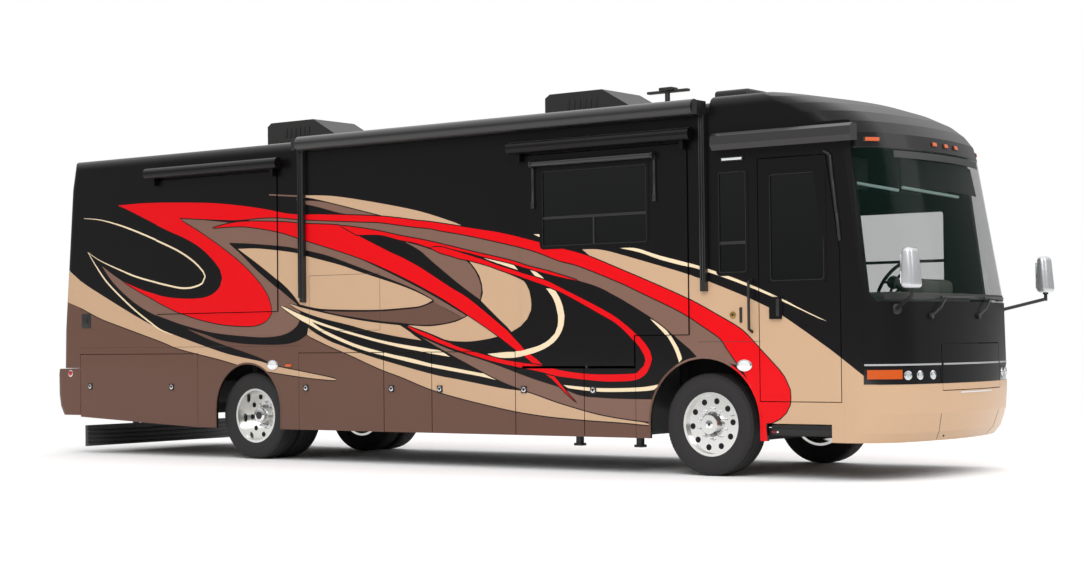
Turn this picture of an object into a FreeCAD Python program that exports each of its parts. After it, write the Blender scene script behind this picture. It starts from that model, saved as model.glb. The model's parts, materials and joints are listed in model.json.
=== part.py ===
import FreeCAD, Part
import math
import os
import re

import Sketcher

# A class A motorhome with a rear engine: slide-out rooms, side bays and an air-sprung chassis.
# The frame has +X to the front, +Y to the left, +Z up, and its origin on the ground.
Vector = FreeCAD.Vector
Rotation = FreeCAD.Rotation
Placement = FreeCAD.Placement
doc = FreeCAD.newDocument("Motorhome")

# Driving dimensions in millimetres, or degrees where said.
# Distances along the coach are measured from the front axle, ahead or behind as named.
SIZES = [
    ("length", 11600, "over the rear bumper and the mirror heads"),
    ("width", 2550, "over the side walls"),
    ("rear_overhang", 3320, "rear axle to the end of the rear bumper"),
    ("mirror_ahead", 130, "mirror heads ahead of the nose"),
    ("nose_ahead", 2170, "front axle to the nose"),
    ("cap_seam_ahead", 1470, "front axle to the seam of the front cap"),
    ("dome_ahead", 100, "front axle to the rear edge of the roof dome"),
    ("rear_cap_depth", 504, "rear bumper to the seam of the rear cap"),
    ("skin", 40, "thickness of walls, doors and skirts"),
    ("seat_gap", 0.3, "clearance where a moving piece rests on its seat"),
    ("door_gap", 8, "seam round doors and slide-outs"),
    ("skirt_low", 345, "lower edge of the skirts"),
    ("floor_high", 1185, "top of the floor"),
    ("floor_thick", 60, "floor panel"),
    ("eave", 3395, "top of the side walls"),
    ("dome_low", 3230, "lower edge of the roof dome"),
    ("roof_high", 3580, "top of the crowned roof"),
    ("roof_corner", 110, "radius at the roof's edges"),
    ("roof_thick", 50, "roof panel"),
    ("arch_front", 610, "radius of the front wheel arches"),
    ("arch_rear", 508, "radius of the rear wheel arches"),
    ("arch_front_high", 500, "height of the centre of the front arches"),
    ("arch_rear_high", 560, "height of the centre of the rear arches"),
    ("bay_front", 765, "front axle to the front edge of the foremost bay door"),
    ("bay_second", 1372, "front axle to the next seam"),
    ("slide_tab", 94, "fixed panel between the third bay seam and the front slide-out"),
    ("bay_share_mid", 0.6341, "share of the bays behind that panel up to the fourth seam"),
    ("bay_share_rear", 0.4132, "share of them up to the fifth seam"),
    ("bay_rear_ahead", 784, "rear axle to the rearmost bay between the axles"),
    ("tail_bay_behind", 795, "rear axle to the compartment behind it"),
    ("bay_under_slide", 1010, "top of the doors below a slide-out"),
    ("bay_deep", 740, "depth of a bay"),
    ("bay_sheet", 20, "bay walls"),
    ("latch_size", 70, "square paddle latch"),
    ("latch_proud", 6, "latch in front of its door"),
    ("latch_high", 800, "height of the latches"),
    ("tail_rise", 90, "rise of the skirt behind the rear axle"),
    ("door_rear_ahead", 611, "front axle to the rear edge of the entry door"),
    ("door_front_ahead", 1440, "front axle to the front edge of the entry door"),
    ("door_slant", 130, "how far the entry door's front edge leans back"),
    ("door_low", 711, "bottom of the entry door"),
    ("door_knee", 2050, "where the entry door's front edge starts to lean"),
    ("door_high", 2930, "top of the entry door"),
    ("door_window_low", 1790, "entry door window"),
    ("door_window_high", 2800, "entry door window"),
    ("door_window_rim", 100, "door around its window"),
    ("glass_thick", 6, "panes"),
    ("well_deep", 530, "step well, from the wall inwards"),
    ("tread_high", 945, "inner step of the well"),
    ("step_low", 400, "underside of the sliding step"),
    ("step_thick", 95, "sliding step"),
    ("step_long", 620, "sliding step along the coach"),
    ("step_deep", 420, "sliding step across the coach"),
    ("recess_high", 507, "top of the recess for the step"),
    ("recess_rear_ahead", 674, "front axle to the recess"),
    ("recess_front_ahead", 1342, "front axle to the front of the recess"),
    ("small_window_rear", 165, "narrow window behind the door"),
    ("small_window_long", 330, "narrow window"),
    ("small_window_low", 1880, "narrow window"),
    ("small_window_high", 2850, "narrow window"),
    ("cab_window_rear", 60, "front axle to the driver's window"),
    ("cab_window_long", 1220, "driver's window"),
    ("cab_window_low", 1700, "driver's window"),
    ("cab_window_high", 2560, "driver's window"),
    ("slide_proud", 12, "slide-out face in front of the wall"),
    ("slide_wall", 30, "slide-out walls behind the face"),
    ("slide_inset", 45, "slide-out box inside its face"),
    ("runner_high", 12, "runners below a slide-out's floor"),
    ("runner_wide", 60, "runners"),
    ("slide_deep", 700, "slide-out box from the wall inwards"),
    ("front_slide_ahead", -154, "front axle to the front edge of the front slide-out"),
    ("front_slide_long", 1969, "front slide-out"),
    ("front_slide_low", 1035, "bottom of the front slide-out's face"),
    ("front_slide_notch", 1330, "bottom of its raised front part"),
    ("front_slide_notch_long", 620, "length of its raised front part"),
    ("front_slide_high", 3130, "top of the front slide-out"),
    ("front_slide_window_behind", 445, "slide-out's front edge to its window"),
    ("front_slide_window_ahead", 254, "slide-out's rear edge to its window"),
    ("front_slide_window_low", 2205, "front slide-out's window"),
    ("front_slide_window_high", 2975, "front slide-out's window"),
    ("rear_slide_ahead", 1356, "seam of the rear cap to the rear slide-out"),
    ("rear_slide_long", 1938, "rear slide-out"),
    ("rear_slide_low", 1645, "bottom of the rear slide-out"),
    ("rear_slide_high", 3190, "top of the rear slide-out"),
    ("left_slide_ahead", -1100, "front axle to the front edge of the left slide-out"),
    ("left_slide_long", 5700, "left slide-out"),
    ("left_slide_low", 1195, "bottom of the left slide-out's face"),
    ("left_window_long", 1150, "left slide-out's windows"),
    ("left_window_low", 2150, "left slide-out's windows"),
    ("left_window_high", 2900, "left slide-out's windows"),
    ("topper_radius", 62, "rolled cover over a slide-out"),
    ("topper_over", 90, "rolled cover beyond its slide-out at each end"),
    ("rail_wide", 70, "chassis rails"),
    ("pad_long", 140, "jack pads below the rails"),
    ("pad_wide", 60, "jack pads"),
    ("pad_thick", 12, "jack pads"),
    ("pad_front_behind", 600, "front axle to the front jack pads"),
    ("pad_rear_behind", 720, "rear axle to the rear jack pads"),
    ("rail_out", 450, "outer face of a chassis rail from the middle"),
    ("rail_low", 600, "chassis rails"),
    ("rail_high", 850, "chassis rails"),
    ("rail_ahead", 1650, "front axle to the front end of the rails"),
    ("cross_wide", 80, "cross members"),
    ("tyre_radius", 483, "tyre"),
    ("tyre_wide", 276, "tyre"),
    ("rim_radius", 285.75, "bead seat"),
    ("rim_edge", 302, "rim flange"),
    ("rim_wide", 218, "rim over its flanges"),
    ("rim_sheet", 9, "rim barrel"),
    ("disc_thick", 22, "wheel disc"),
    ("hub_radius", 118, "hub"),
    ("hub_bore", 42, "bore of the hub"),
    ("hand_hole", 24, "radius of the hand holes"),
    ("hand_hole_circle", 214, "circle of the hand holes"),
    ("hand_hole_count", 10, "hand holes"),
    ("front_wheel_out", 1052, "middle of a front tyre from the coach's middle"),
    ("rear_wheel_out", 1046, "middle of an outer rear tyre"),
    ("twin_space", 326, "between the middles of twin tyres"),
    ("kingpin_out", 870, "kingpin from the coach's middle"),
    ("kingpin_radius", 22, "kingpin"),
    ("pin_clearance", 0.05, "kingpin in its eye, and axles in their hubs"),
    ("eye_radius", 52, "eye at the end of the front beam"),
    ("eye_high", 110, "eye at the end of the front beam"),
    ("beam_size", 100, "front axle beam"),
    ("beam_drop", 90, "front axle beam below the wheel centres"),
    ("lug_thick", 36, "knuckle lugs above and below the eye"),
    ("lug_gap", 1, "between a lug and the eye"),
    ("axle_tube", 75, "radius of the rear axle tube"),
    ("axle_bowl", 210, "radius of the rear axle's gear housing"),
    ("spring_radius", 110, "air springs"),
    ("engine_long", 1150, "engine"),
    ("engine_behind", 1400, "rear axle to the engine's front"),
    ("engine_low", 470, "engine"),
    ("engine_high", 1100, "engine"),
    ("guard_low", 80, "rear rock guard"),
    ("guard_high", 330, "rear rock guard"),
    ("guard_wide", 2400, "rear rock guard"),
    ("guard_thick", 40, "rear rock guard"),
    ("guard_behind", 2820, "rear axle to the rock guard"),
    ("nose_arc", 3500, "radius of the nose in plan"),
    ("nose_corner", 450, "radius of the nose's corners in plan"),
    ("shell", 45, "thickness of the end caps"),
    ("tail_arc", 16000, "radius of the tail in plan"),
    ("tail_corner", 120, "radius of the tail's corners in plan"),
    ("dome_rise", 50, "roof dome above the roof"),
    ("screen_low", 1600, "bottom of the windscreen"),
    ("screen_high", 2985, "top of the windscreen"),
    ("screen_side_low_ahead", 1700, "front axle to the windscreen's lower side corner"),
    ("screen_side_high_ahead", 1540, "front axle to the windscreen's upper side corner"),
    ("screen_corner", 90, "bevel of the windscreen's lower side corner"),
    ("glass_inset", 3, "windscreen inside the cap's face"),
    ("hood_half", 620, "half width of the front hood"),
    ("hood_reach", 370, "depth of the nose that holds the hood"),
    ("hood_low", 800, "bottom of the front hood"),
    ("hood_high", 1220, "top of the front hood"),
    ("lamp_low", 865, "headlamps"),
    ("lamp_high", 1005, "headlamps"),
    ("lamp_rear_ahead", 1660, "front axle to the rear end of a headlamp"),
    ("lamp_inner", 640, "inner end of a headlamp from the middle"),
    ("lamp_inset", 4, "headlamps inside the cap's face"),
    ("lamp_depth", 60, "back of the headlamps inside the cap's face"),
    ("engine_door_half", 760, "half width of the engine door"),
    ("engine_door_low", 1060, "bottom of the engine door"),
    ("engine_door_high", 1800, "top of the engine door"),
    ("bumper_shelf", 260, "depth of the rear bumper's top"),
    ("awning_radius", 80, "patio awning roll"),
    ("awning_long", 5073, "patio awning roll, behind the front axle"),
    ("awning_high", 3450, "height of the awning roll's middle"),
    ("arm_wide", 62, "awning arms along the coach"),
    ("arm_thick", 45, "awning arms across the coach"),
    ("arm_low", 1730, "lower end of the awning arms"),
    ("door_awning_rear", 182, "front axle to the door awning's rear end"),
    ("door_awning_long", 1450, "door awning"),
    ("door_awning_low", 3030, "door awning"),
    ("door_awning_high", 3190, "door awning"),
    ("door_awning_deep", 140, "door awning"),
    ("ac_long", 1150, "roof air conditioners"),
    ("ac_wide", 700, "roof air conditioners"),
    ("ac_high", 300, "roof air conditioners"),
    ("ac_front_behind", 1345, "front axle to the front air conditioner's front end"),
    ("ac_rear_behind", 5400, "front axle to the rear air conditioner's front end"),
    ("mirror_out", 1465, "mirror heads from the middle"),
    ("mirror_wide", 230, "mirror heads"),
    ("mirror_deep", 130, "mirror heads"),
    ("mirror_low", 1700, "mirror heads"),
    ("mirror_high", 2060, "mirror heads"),
    ("mirror_arm", 16, "radius of the mirror arms"),
    ("mirror_foot_high", 1530, "mirror brackets"),
    ("mirror_foot_out", 1120, "mirror brackets from the middle"),
    ("mirror_round", 38, "radius of the mirror heads' upright edges"),
    ("wiper_below", 130, "wiper pivots below the windshield"),
    ("wiper_rod", 9, "radius of the wiper arms"),
    ("dash_high", 1590, "top of the dashboard"),
    ("dash_rear_ahead", 1250, "front axle to the dashboard"),
    ("dash_long", 480, "dashboard"),
    ("dash_half", 1000, "half width of the dashboard"),
    ("steering_radius", 225, "steering wheel"),
    ("steering_rim", 17, "thickness of the steering wheel's rim"),
    ("steering_ahead", 1010, "front axle to the steering wheel"),
    ("steering_high", 1820, "height of the steering wheel"),
    ("column_long", 400, "steering column"),
    ("column_radius", 32, "steering column"),
    ("horn_radius", 66, "middle of the steering wheel"),
    ("seat_out", 640, "seats from the middle"),
    ("seat_wide", 540, "seats"),
    ("seat_rear", -120, "front axle to the back of the seats"),
    ("seat_long", 560, "seat cushions"),
    ("seat_high", 1660, "top of the seat cushions"),
    ("seat_back_high", 2330, "top of the seat backs"),
    ("grab_ahead", 532, "front axle to the grab rail"),
    ("grab_low", 1345, "grab rail"),
    ("grab_high", 1825, "grab rail"),
    ("grab_out", 60, "grab rail from the wall"),
    ("grab_radius", 13, "grab rail"),
    ("hitch_tube", 76, "hitch receiver outside"),
    ("hitch_bore", 51, "hitch receiver inside"),
    ("hitch_high", 405, "height of the hitch receiver"),
    ("hitch_long", 400, "hitch receiver"),
    ("tail_lamp_out", 1060, "tail lamps from the middle"),
    ("tail_lamp_low", 1150, "tail lamps"),
    ("tail_lamp_high", 1550, "tail lamps"),
    ("tail_lamp_wide", 120, "tail lamps"),
]

# Places worked out from the sizes, along X unless said.
PLACES = [
    ("half_width", "width / 2"),
    ("tail", "-length / 2"),
    ("nose", "length / 2 - mirror_ahead"),
    ("front_axle", "nose - nose_ahead"),
    ("rear_axle", "tail + rear_overhang"),
    ("cap_seam", "front_axle + cap_seam_ahead"),
    ("dome_rear", "front_axle + dome_ahead"),
    ("tail_seam", "tail + rear_cap_depth"),
    ("floor_low", "floor_high - floor_thick"),
    ("inner_face", "half_width - skin"),
    ("frame_face", "inner_face - seat_gap"),
    ("bay_high", "floor_high - door_gap"),
    ("door_rear", "front_axle + door_rear_ahead"),
    ("door_front", "front_axle + door_front_ahead"),
    ("front_slide_front", "front_axle + front_slide_ahead"),
    ("front_slide_rear", "front_slide_front - front_slide_long"),
    ("rear_slide_rear", "tail_seam + rear_slide_ahead"),
    ("rear_slide_front", "rear_slide_rear + rear_slide_long"),
    ("left_slide_front", "front_axle + left_slide_ahead"),
    ("left_slide_rear", "left_slide_front - left_slide_long"),
    ("seam_front", "front_axle - bay_front"),
    ("seam_second", "front_axle - bay_second"),
    ("seam_third", "front_slide_rear - slide_tab"),
    ("seam_rear", "rear_axle + bay_rear_ahead"),
    ("seam_fourth", "seam_rear + bay_share_mid * (seam_third - seam_rear)"),
    ("seam_fifth", "seam_rear + bay_share_rear * (seam_third - seam_rear)"),
    ("seam_tail", "rear_axle - tail_bay_behind"),
    ("step_high", "step_low + step_thick"),
    ("wheel_high", "tyre_radius"),
]


def fill(name, rows, link_text):
    """Make a sheet with one named cell for each row."""
    sheet = doc.addObject("Spreadsheet::Sheet", name)
    for line, row in enumerate(rows, start=1):
        cell = "B" + str(line)
        sheet.set("A" + str(line), row[0])
        sheet.set(cell, link_text(row[1]))
        sheet.setAlias(cell, row[0])
    doc.recompute()
    return sheet


CELLS = {row[0]: "Sizes." + row[0] for row in SIZES}


def link(text):
    """Write each size or place that an expression names as its cell."""
    return re.sub(r"[a-z_]+[a-z]", lambda word: CELLS.get(word.group(0), word.group(0)), text)


sizes = fill("Sizes", SIZES, str)
CELLS_OF_PLACES = {row[0]: "Places." + row[0] for row in PLACES}
places = fill("Places", PLACES, lambda text: "=" + link(text))
CELLS.update(CELLS_OF_PLACES)


def at(name):
    """The number in a named cell of either sheet."""
    return float(getattr(places if name in CELLS_OF_PLACES else sizes, name))


def bind(piece, prop, text):
    """Tie a property to an expression."""
    piece.setExpression(prop, link(text))


def box(name, low, high):
    """A box between two corners, whose coordinates are expressions."""
    piece = doc.addObject("Part::Box", name)
    for side, axis, start, end in zip(("Length", "Width", "Height"), "xyz", low, high):
        bind(piece, side, "(" + end + ") - (" + start + ")")
        bind(piece, "Placement.Base." + axis, start)
    return piece


TURNS = {"x": Rotation(Vector(0, 1, 0), 90), "y": Rotation(Vector(1, 0, 0), -90), "z": Rotation()}


def cylinder(name, start, axis, radius, long):
    """A cylinder that runs from its start along an axis."""
    piece = doc.addObject("Part::Cylinder", name)
    piece.Placement = Placement(Vector(), TURNS[axis])
    bind(piece, "Radius", radius)
    bind(piece, "Height", long)
    for letter, text in zip("xyz", start):
        bind(piece, "Placement.Base." + letter, text)
    return piece


def fuse(name, pieces):
    """One solid from pieces that meet."""
    whole = doc.addObject("Part::MultiFuse", name)
    whole.Shapes = pieces
    whole.Refine = True
    return whole


def cut(name, base, tool):
    """The base without the tool."""
    rest = doc.addObject("Part::Cut", name)
    rest.Base = base
    rest.Tool = tool
    rest.Refine = True
    return rest


def group(name, pieces):
    """Solids that lie apart, under one name."""
    together = doc.addObject("Part::Compound", name)
    together.Links = pieces
    return together


def feature(name, shape):
    """An object that holds a shape made with Part's functions."""
    piece = doc.addObject("Part::Feature", name)
    piece.Shape = shape
    return piece


def solid_of(shape):
    """The single solid in a result, or the result itself."""
    return shape.Solids[0] if len(shape.Solids) == 1 else shape


def origin_item(body, role):
    """One of a body's own origin planes or axes."""
    return next(item for item in body.Origin.OriginFeatures if item.Role == role)


def sketch_on(body, name, role, offset="0"):
    """A sketch on a body's origin plane, moved along the plane's normal."""
    sketch = body.newObject("Sketcher::SketchObject", name)
    sketch.AttachmentSupport = (origin_item(body, role), [""])
    sketch.MapMode = "FlatFace"
    bind(sketch, "AttachmentOffset.Base.z", offset)
    return sketch


def draw_polygon(sketch, corners):
    """Draw a closed outline; each corner is a pair of expressions."""
    first = sketch.GeometryCount
    count = len(corners)
    spots = []
    for index in range(count):
        angle = 2 * math.pi * index / count
        spots.append(Vector(100 * math.cos(angle), 100 * math.sin(angle), 0))
    for index in range(count):
        sketch.addGeometry(Part.LineSegment(spots[index], spots[(index + 1) % count]))
    for index in range(count):
        here = first + index
        then = first + (index + 1) % count
        sketch.addConstraint(Sketcher.Constraint("Coincident", here, 2, then, 1))
    for index, corner in enumerate(corners):
        for kind, text, place in zip(("DistanceX", "DistanceY"), corner, spots[index]):
            row = sketch.addConstraint(Sketcher.Constraint(kind, -1, 1, first + index, 1, place))
            sketch.setExpression("Constraints[" + str(row) + "]", link(text))


def draw_circle(sketch, across, up, radius):
    """Draw a circle; its centre and radius are expressions."""
    index = sketch.addGeometry(Part.Circle(Vector(10, 10, 0), Vector(0, 0, 1), 10))
    for kind, text in (("DistanceX", across), ("DistanceY", up)):
        row = sketch.addConstraint(Sketcher.Constraint(kind, -1, 1, index, 3, 10))
        sketch.setExpression("Constraints[" + str(row) + "]", link(text))
    row = sketch.addConstraint(Sketcher.Constraint("Radius", index, 10))
    sketch.setExpression("Constraints[" + str(row) + "]", link(radius))


def plate(name, role, low, high, outline, holes=()):
    """A flat piece between two distances from an origin plane."""
    body = doc.addObject("PartDesign::Body", name)
    upright = role == "XZ_Plane"
    start = "-(" + high + ")" if upright else low
    sketch = sketch_on(body, name + "_outline", role, start)
    draw_polygon(sketch, outline)
    for hole in holes:
        draw_polygon(sketch, hole)
    pad = body.newObject("PartDesign::Pad", name + "_pad")
    pad.Profile = sketch
    bind(pad, "Length", "(" + high + ") - (" + low + ")")
    body.Tip = pad
    return body


def side_plate(name, side, outer, inner, outline, holes=()):
    """A plate in a side of the coach, between two distances from the middle."""
    low, high = ("-(" + outer + ")", "-(" + inner + ")") if side == "right" else (inner, outer)
    return plate(name, "XZ_Plane", low, high, outline, holes)


def rectangle(rear, front, low, high):
    """Corners of an upright rectangle."""
    return [(rear, low), (front, low), (front, high), (rear, high)]


def side_y(side, text):
    """A distance from the middle as a Y place on one side."""
    return "-(" + text + ")" if side == "right" else text


def side_box(name, side, x_range, outer, inner, z_range):
    """A box at one side of the coach."""
    ends = (side_y(side, outer), side_y(side, inner))
    low_y, high_y = ends if side == "right" else (ends[1], ends[0])
    return box(name, (x_range[0], low_y, z_range[0]), (x_range[1], high_y, z_range[1]))


SIDES = ("right", "left")
pieces = {}


def keep(name, piece):
    """Give a sub-part its name."""
    piece.Label = name
    pieces[name] = piece
    return piece


# Chassis: two rails, cross members and posts up to the floor.
CROSS_PLACES = (
    "front_axle + 1500", "front_axle + 640", "seam_front", "seam_third",
    "seam_fourth", "seam_rear", "rear_axle - 700", "tail_seam + 250",
)


def make_chassis():
    parts = []
    for side in SIDES:
        parts.append(side_box("rail_" + side, side, ("tail_seam - 100", "front_axle + rail_ahead"),
                              "rail_out", "rail_out - rail_wide", ("rail_low", "rail_high")))
        for index, place in enumerate(CROSS_PLACES):
            span = (place + " - cross_wide / 2", place + " + cross_wide / 2")
            parts.append(side_box("post_" + side + str(index), side, span, "rail_out",
                                  "rail_out - rail_wide", ("rail_low", "floor_low")))
        for end, place in (("front", "front_axle - pad_front_behind"),
                           ("rear", "rear_axle - pad_rear_behind")):
            parts.append(side_box("jack_pad_" + end + "_" + side, side,
                                  (place + " - pad_long / 2", place + " + pad_long / 2"),
                                  "rail_out - rail_wide / 2 + pad_wide / 2",
                                  "rail_out - rail_wide / 2 - pad_wide / 2",
                                  ("rail_low - pad_thick", "rail_low + 1")))
    for index, place in enumerate(CROSS_PLACES[:-1]):
        low = (place + " - cross_wide / 2", "-rail_out + rail_wide / 2", "rail_high - 90")
        high = (place + " + cross_wide / 2", "rail_out - rail_wide / 2", "rail_high - 10")
        parts.append(box("cross" + str(index), low, high))
    cross_low = ("tail_seam - 100", "-rail_out + rail_wide / 2", "hitch_high - hitch_tube / 2")
    cross_high = ("tail_seam - 20", "rail_out - rail_wide / 2", "rail_low + 60")
    parts.append(box("hitch_cross", cross_low, cross_high))
    tube = box("hitch_outside", ("tail + 60", "-hitch_tube / 2", "hitch_high - hitch_tube / 2"),
               ("tail + 60 + hitch_long", "hitch_tube / 2", "hitch_high + hitch_tube / 2"))
    parts.append(tube)
    frame = fuse("frame_solid", parts)
    bore = box("hitch_inside", ("tail + 50", "-hitch_bore / 2", "hitch_high - hitch_bore / 2"),
               ("tail + 20 + hitch_long", "hitch_bore / 2", "hitch_high + hitch_bore / 2"))
    keep("chassis_frame", cut("chassis_frame", frame, bore))


# Floor with the step well behind the entry door.
def make_floor():
    main = box("floor_main", ("tail_seam", "-frame_face", "floor_low"),
               ("cap_seam", "frame_face", "floor_high"))
    ahead = box("floor_ahead", ("cap_seam - 1", "-frame_face + 150", "floor_low"),
                ("cap_seam + 330", "frame_face - 150", "floor_high"))
    slab = fuse("floor_slab", [main, ahead])
    well_in = "-frame_face + well_deep"
    opening = box("well_opening", ("door_rear + bay_sheet", "-half_width", "floor_low - 10"),
                  ("door_front - bay_sheet", well_in, "floor_high + 10"))
    slab_cut = cut("floor_cut", slab, opening)
    well = box("well_outside", ("door_rear", "-frame_face", "door_low"),
               ("door_front", well_in + " + bay_sheet", "floor_low"))
    hollow = box("well_hollow", ("door_rear + bay_sheet", "-half_width", "door_low + bay_sheet"),
                 ("door_front - bay_sheet", well_in, "floor_high"))
    tray = cut("well_tray", well, hollow)
    tread = box("well_tread", ("door_rear + bay_sheet / 2", "-frame_face + well_deep / 2", "door_low"),
                ("door_front - bay_sheet / 2", well_in + " + bay_sheet / 2", "tread_high"))
    hangers = []
    for index, place in enumerate(("recess_rear_ahead + 60", "recess_front_ahead - 100")):
        start = "front_axle + " + place
        hangers.append(box("step_hanger" + str(index), (start, "-frame_face + 30", "step_high + seat_gap"),
                           (start + " + 40", "-frame_face + step_deep", "door_low + 1")))
    keep("floor", fuse("floor", [slab_cut, tray, tread] + hangers))


# Side walls.
def small_window():
    return rectangle("front_axle + small_window_rear",
                     "front_axle + small_window_rear + small_window_long",
                     "small_window_low", "small_window_high")


def cab_window():
    return rectangle("front_axle + cab_window_rear", "front_axle + cab_window_rear + cab_window_long",
                     "cab_window_low", "cab_window_high")


def make_walls():
    gap = " + door_gap"
    right = [
        ("tail_seam", "floor_high"),
        ("seam_third + door_gap / 2", "floor_high"),
        ("seam_third + door_gap / 2", "bay_under_slide" + gap),
        ("front_slide_rear - door_gap", "bay_under_slide" + gap),
        ("front_slide_rear - door_gap", "front_slide_high" + gap),
        ("front_slide_front + door_gap", "front_slide_high" + gap),
        ("front_slide_front + door_gap", "front_slide_notch - door_gap"),
        ("front_slide_front - front_slide_notch_long + door_gap", "front_slide_notch - door_gap"),
        ("front_slide_front - front_slide_notch_long + door_gap", "floor_high"),
        ("door_rear - door_gap", "floor_high"),
        ("door_rear - door_gap", "door_high" + gap),
        ("door_front - door_slant + door_gap", "door_high" + gap),
        ("door_front + door_gap", "door_knee"),
        ("door_front + door_gap", "floor_high"),
        ("cap_seam", "floor_high"),
        ("cap_seam", "dome_low"),
        ("dome_rear", "dome_low"),
        ("dome_rear", "eave"),
        ("tail_seam", "eave"),
    ]
    rear_slide = rectangle("rear_slide_rear - door_gap", "rear_slide_front + door_gap",
                           "rear_slide_low - door_gap", "rear_slide_high" + gap)
    keep("right_wall", side_plate("right_wall", "right", "half_width", "inner_face", right,
                                  [rear_slide, small_window()]))
    left = [
        ("tail_seam", "floor_high"),
        ("left_slide_rear - door_gap", "floor_high"),
        ("left_slide_rear - door_gap", "front_slide_high" + gap),
        ("left_slide_front + door_gap", "front_slide_high" + gap),
        ("left_slide_front + door_gap", "floor_high"),
        ("cap_seam", "floor_high"),
        ("cap_seam", "dome_low"),
        ("dome_rear", "dome_low"),
        ("dome_rear", "eave"),
        ("tail_seam", "eave"),
    ]
    keep("left_wall", side_plate("left_wall", "left", "half_width", "inner_face", left, [cab_window()]))
    panes = [
        side_plate("small_pane", "right", "half_width - 14", "half_width - 14 - glass_thick", small_window()),
        side_plate("cab_pane", "left", "half_width - 14", "half_width - 14 - glass_thick", cab_window()),
    ]
    keep("side_glass", group("side_glass", panes))


# Roof: a crowned panel with rounded edges.
def roof_face(inset, x_place, rise):
    """The section of the roof, drawn inside its outer line by the inset and lifted by the rise."""
    half = at("half_width") - inset
    radius = at("roof_corner") - inset / 2
    top = at("roof_high") - inset + rise
    eave = at("eave") + rise
    shoulder_y = half - radius
    shoulder_z = eave + radius
    turn = math.sqrt(0.5)
    corner_mid = (shoulder_y + radius * turn, eave + radius * turn)
    points = [Vector(x_place, half, eave), Vector(x_place, shoulder_y, shoulder_z),
              Vector(x_place, -shoulder_y, shoulder_z), Vector(x_place, -half, eave)]
    edges = [
        Part.Arc(points[0], Vector(x_place, corner_mid[0], corner_mid[1]), points[1]).toShape(),
        Part.Arc(points[1], Vector(x_place, 0, top), points[2]).toShape(),
        Part.Arc(points[2], Vector(x_place, -corner_mid[0], corner_mid[1]), points[3]).toShape(),
        Part.LineSegment(points[3], points[0]).toShape(),
    ]
    return Part.Face(Part.Wire(edges))


def roof_solid(inset, rear, front, rise=0):
    return roof_face(inset, rear, rise).extrude(Vector(front - rear, 0, 0))


def make_roof():
    rear, front = at("tail_seam"), at("dome_rear")
    inner = roof_solid(at("roof_thick"), rear - 1, front + 1)
    keep("roof", feature("roof", solid_of(roof_solid(0, rear, front).cut(inner))))


# End caps. In plan each end is a broad arc between two corner arcs, and a form drawn inside it by an
# inset keeps their centres. A row holds a height and how far the end lies behind its outermost place.
NOSE_ROWS = (
    (345, 140), (430, 70), (600, 15), (800, 0), (1600, 18), (2985, 270), (3120, 310), (3230, 400),
    (3330, 530), (3420, 720), (3500, 960), (3560, 1270), (3610, 1680), (3640, 2020),
)
DOME_ROWS = 8
TAIL_ROWS = ((1018, 120), (1480, 131), (2300, 200), (3170, 272), (3300, 300), (3640, 372))
BUMPER_ROWS = ((455, 90), (560, 30), (700, 4), (940, 0), (1010, 12))
NOSE_END = ("nose", 1, "nose_arc", "nose_corner")
TAIL_END = ("tail", -1, "tail_arc", "tail_corner")
# How far shapes reach past the place where another shape trims them, and how far the nose's bands,
# which slide back as they rise, run behind the dome.
REACH = 50
NOSE_RUN = 2500


def end_arcs(end):
    """Distance of an end's corner arcs from the middle, of their centres behind the tip, and their turn."""
    broad, small = at(end[2]), at(end[3])
    side = at("half_width") - small
    turn = math.asin(side / (broad - small))
    return side, broad - (broad - small) * math.cos(turn), turn


def plan_face(end, setback, height, back, inset):
    """An end's outline at a height, closed by a straight back."""
    way = end[1]
    tip = at(end[0]) - way * setback
    side, depth, turn = end_arcs(end)
    small, half = at(end[3]) - inset, at("half_width") - inset

    def corner(angle, hand):
        along = tip - way * (depth - small * math.cos(angle))
        return Vector(along, hand * (side + small * math.sin(angle)), height)

    right, left = -1, 1
    middle = (turn + math.pi / 2) / 2
    starts = [corner(math.pi / 2, right), corner(turn, right),
              corner(turn, left), corner(math.pi / 2, left)]
    far = [Vector(back, half, height), Vector(back, -half, height)]
    edges = [
        Part.Arc(starts[0], corner(middle, right), starts[1]),
        Part.Arc(starts[1], Vector(tip - way * inset, 0, height), starts[2]),
        Part.Arc(starts[2], corner(middle, left), starts[3]),
        Part.LineSegment(starts[3], far[0]),
        Part.LineSegment(far[0], far[1]),
        Part.LineSegment(far[1], starts[0]),
    ]
    return Part.Face(Part.Wire([edge.toShape() for edge in edges]))


def end_bands(end, rows, back, outer, inner=None):
    """Slanted bands between the rows: solid, or a wall when an inner inset is given."""
    bands = []
    for (low, first), (high, second) in zip(rows, rows[1:]):
        face = plan_face(end, first, low, back, outer)
        if inner is not None:
            past = back - end[1] * REACH
            face = face.cut(plan_face(end, first, low, past, inner)).Faces[0]
        bands.append(face.extrude(Vector(end[1] * (first - second), 0, high - low)))
    return bands


def joined(shapes):
    """One shape from several that meet."""
    return shapes[0].multiFuse(shapes[1:])


def block(x_range, y_range, z_range):
    """A box shape between three pairs of numbers."""
    corner = Vector(x_range[0], y_range[0], z_range[0])
    return Part.makeBox(x_range[1] - x_range[0], y_range[1] - y_range[0], z_range[1] - z_range[0], corner)


def side_prism(corners, start, way):
    """A side view polygon swept along a direction from a distance to the left of the middle."""
    points = [Vector(x, start, z) for x, z in corners]
    return Part.Face(Part.makePolygon(points + [points[0]])).extrude(way)


def screen_line():
    """The windscreen's side edge, seen from the side: its lower and upper ends."""
    axle = at("front_axle")
    return ((axle + at("screen_side_low_ahead"), at("screen_low") + at("screen_corner")),
            (axle + at("screen_side_high_ahead"), at("screen_high")))


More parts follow.
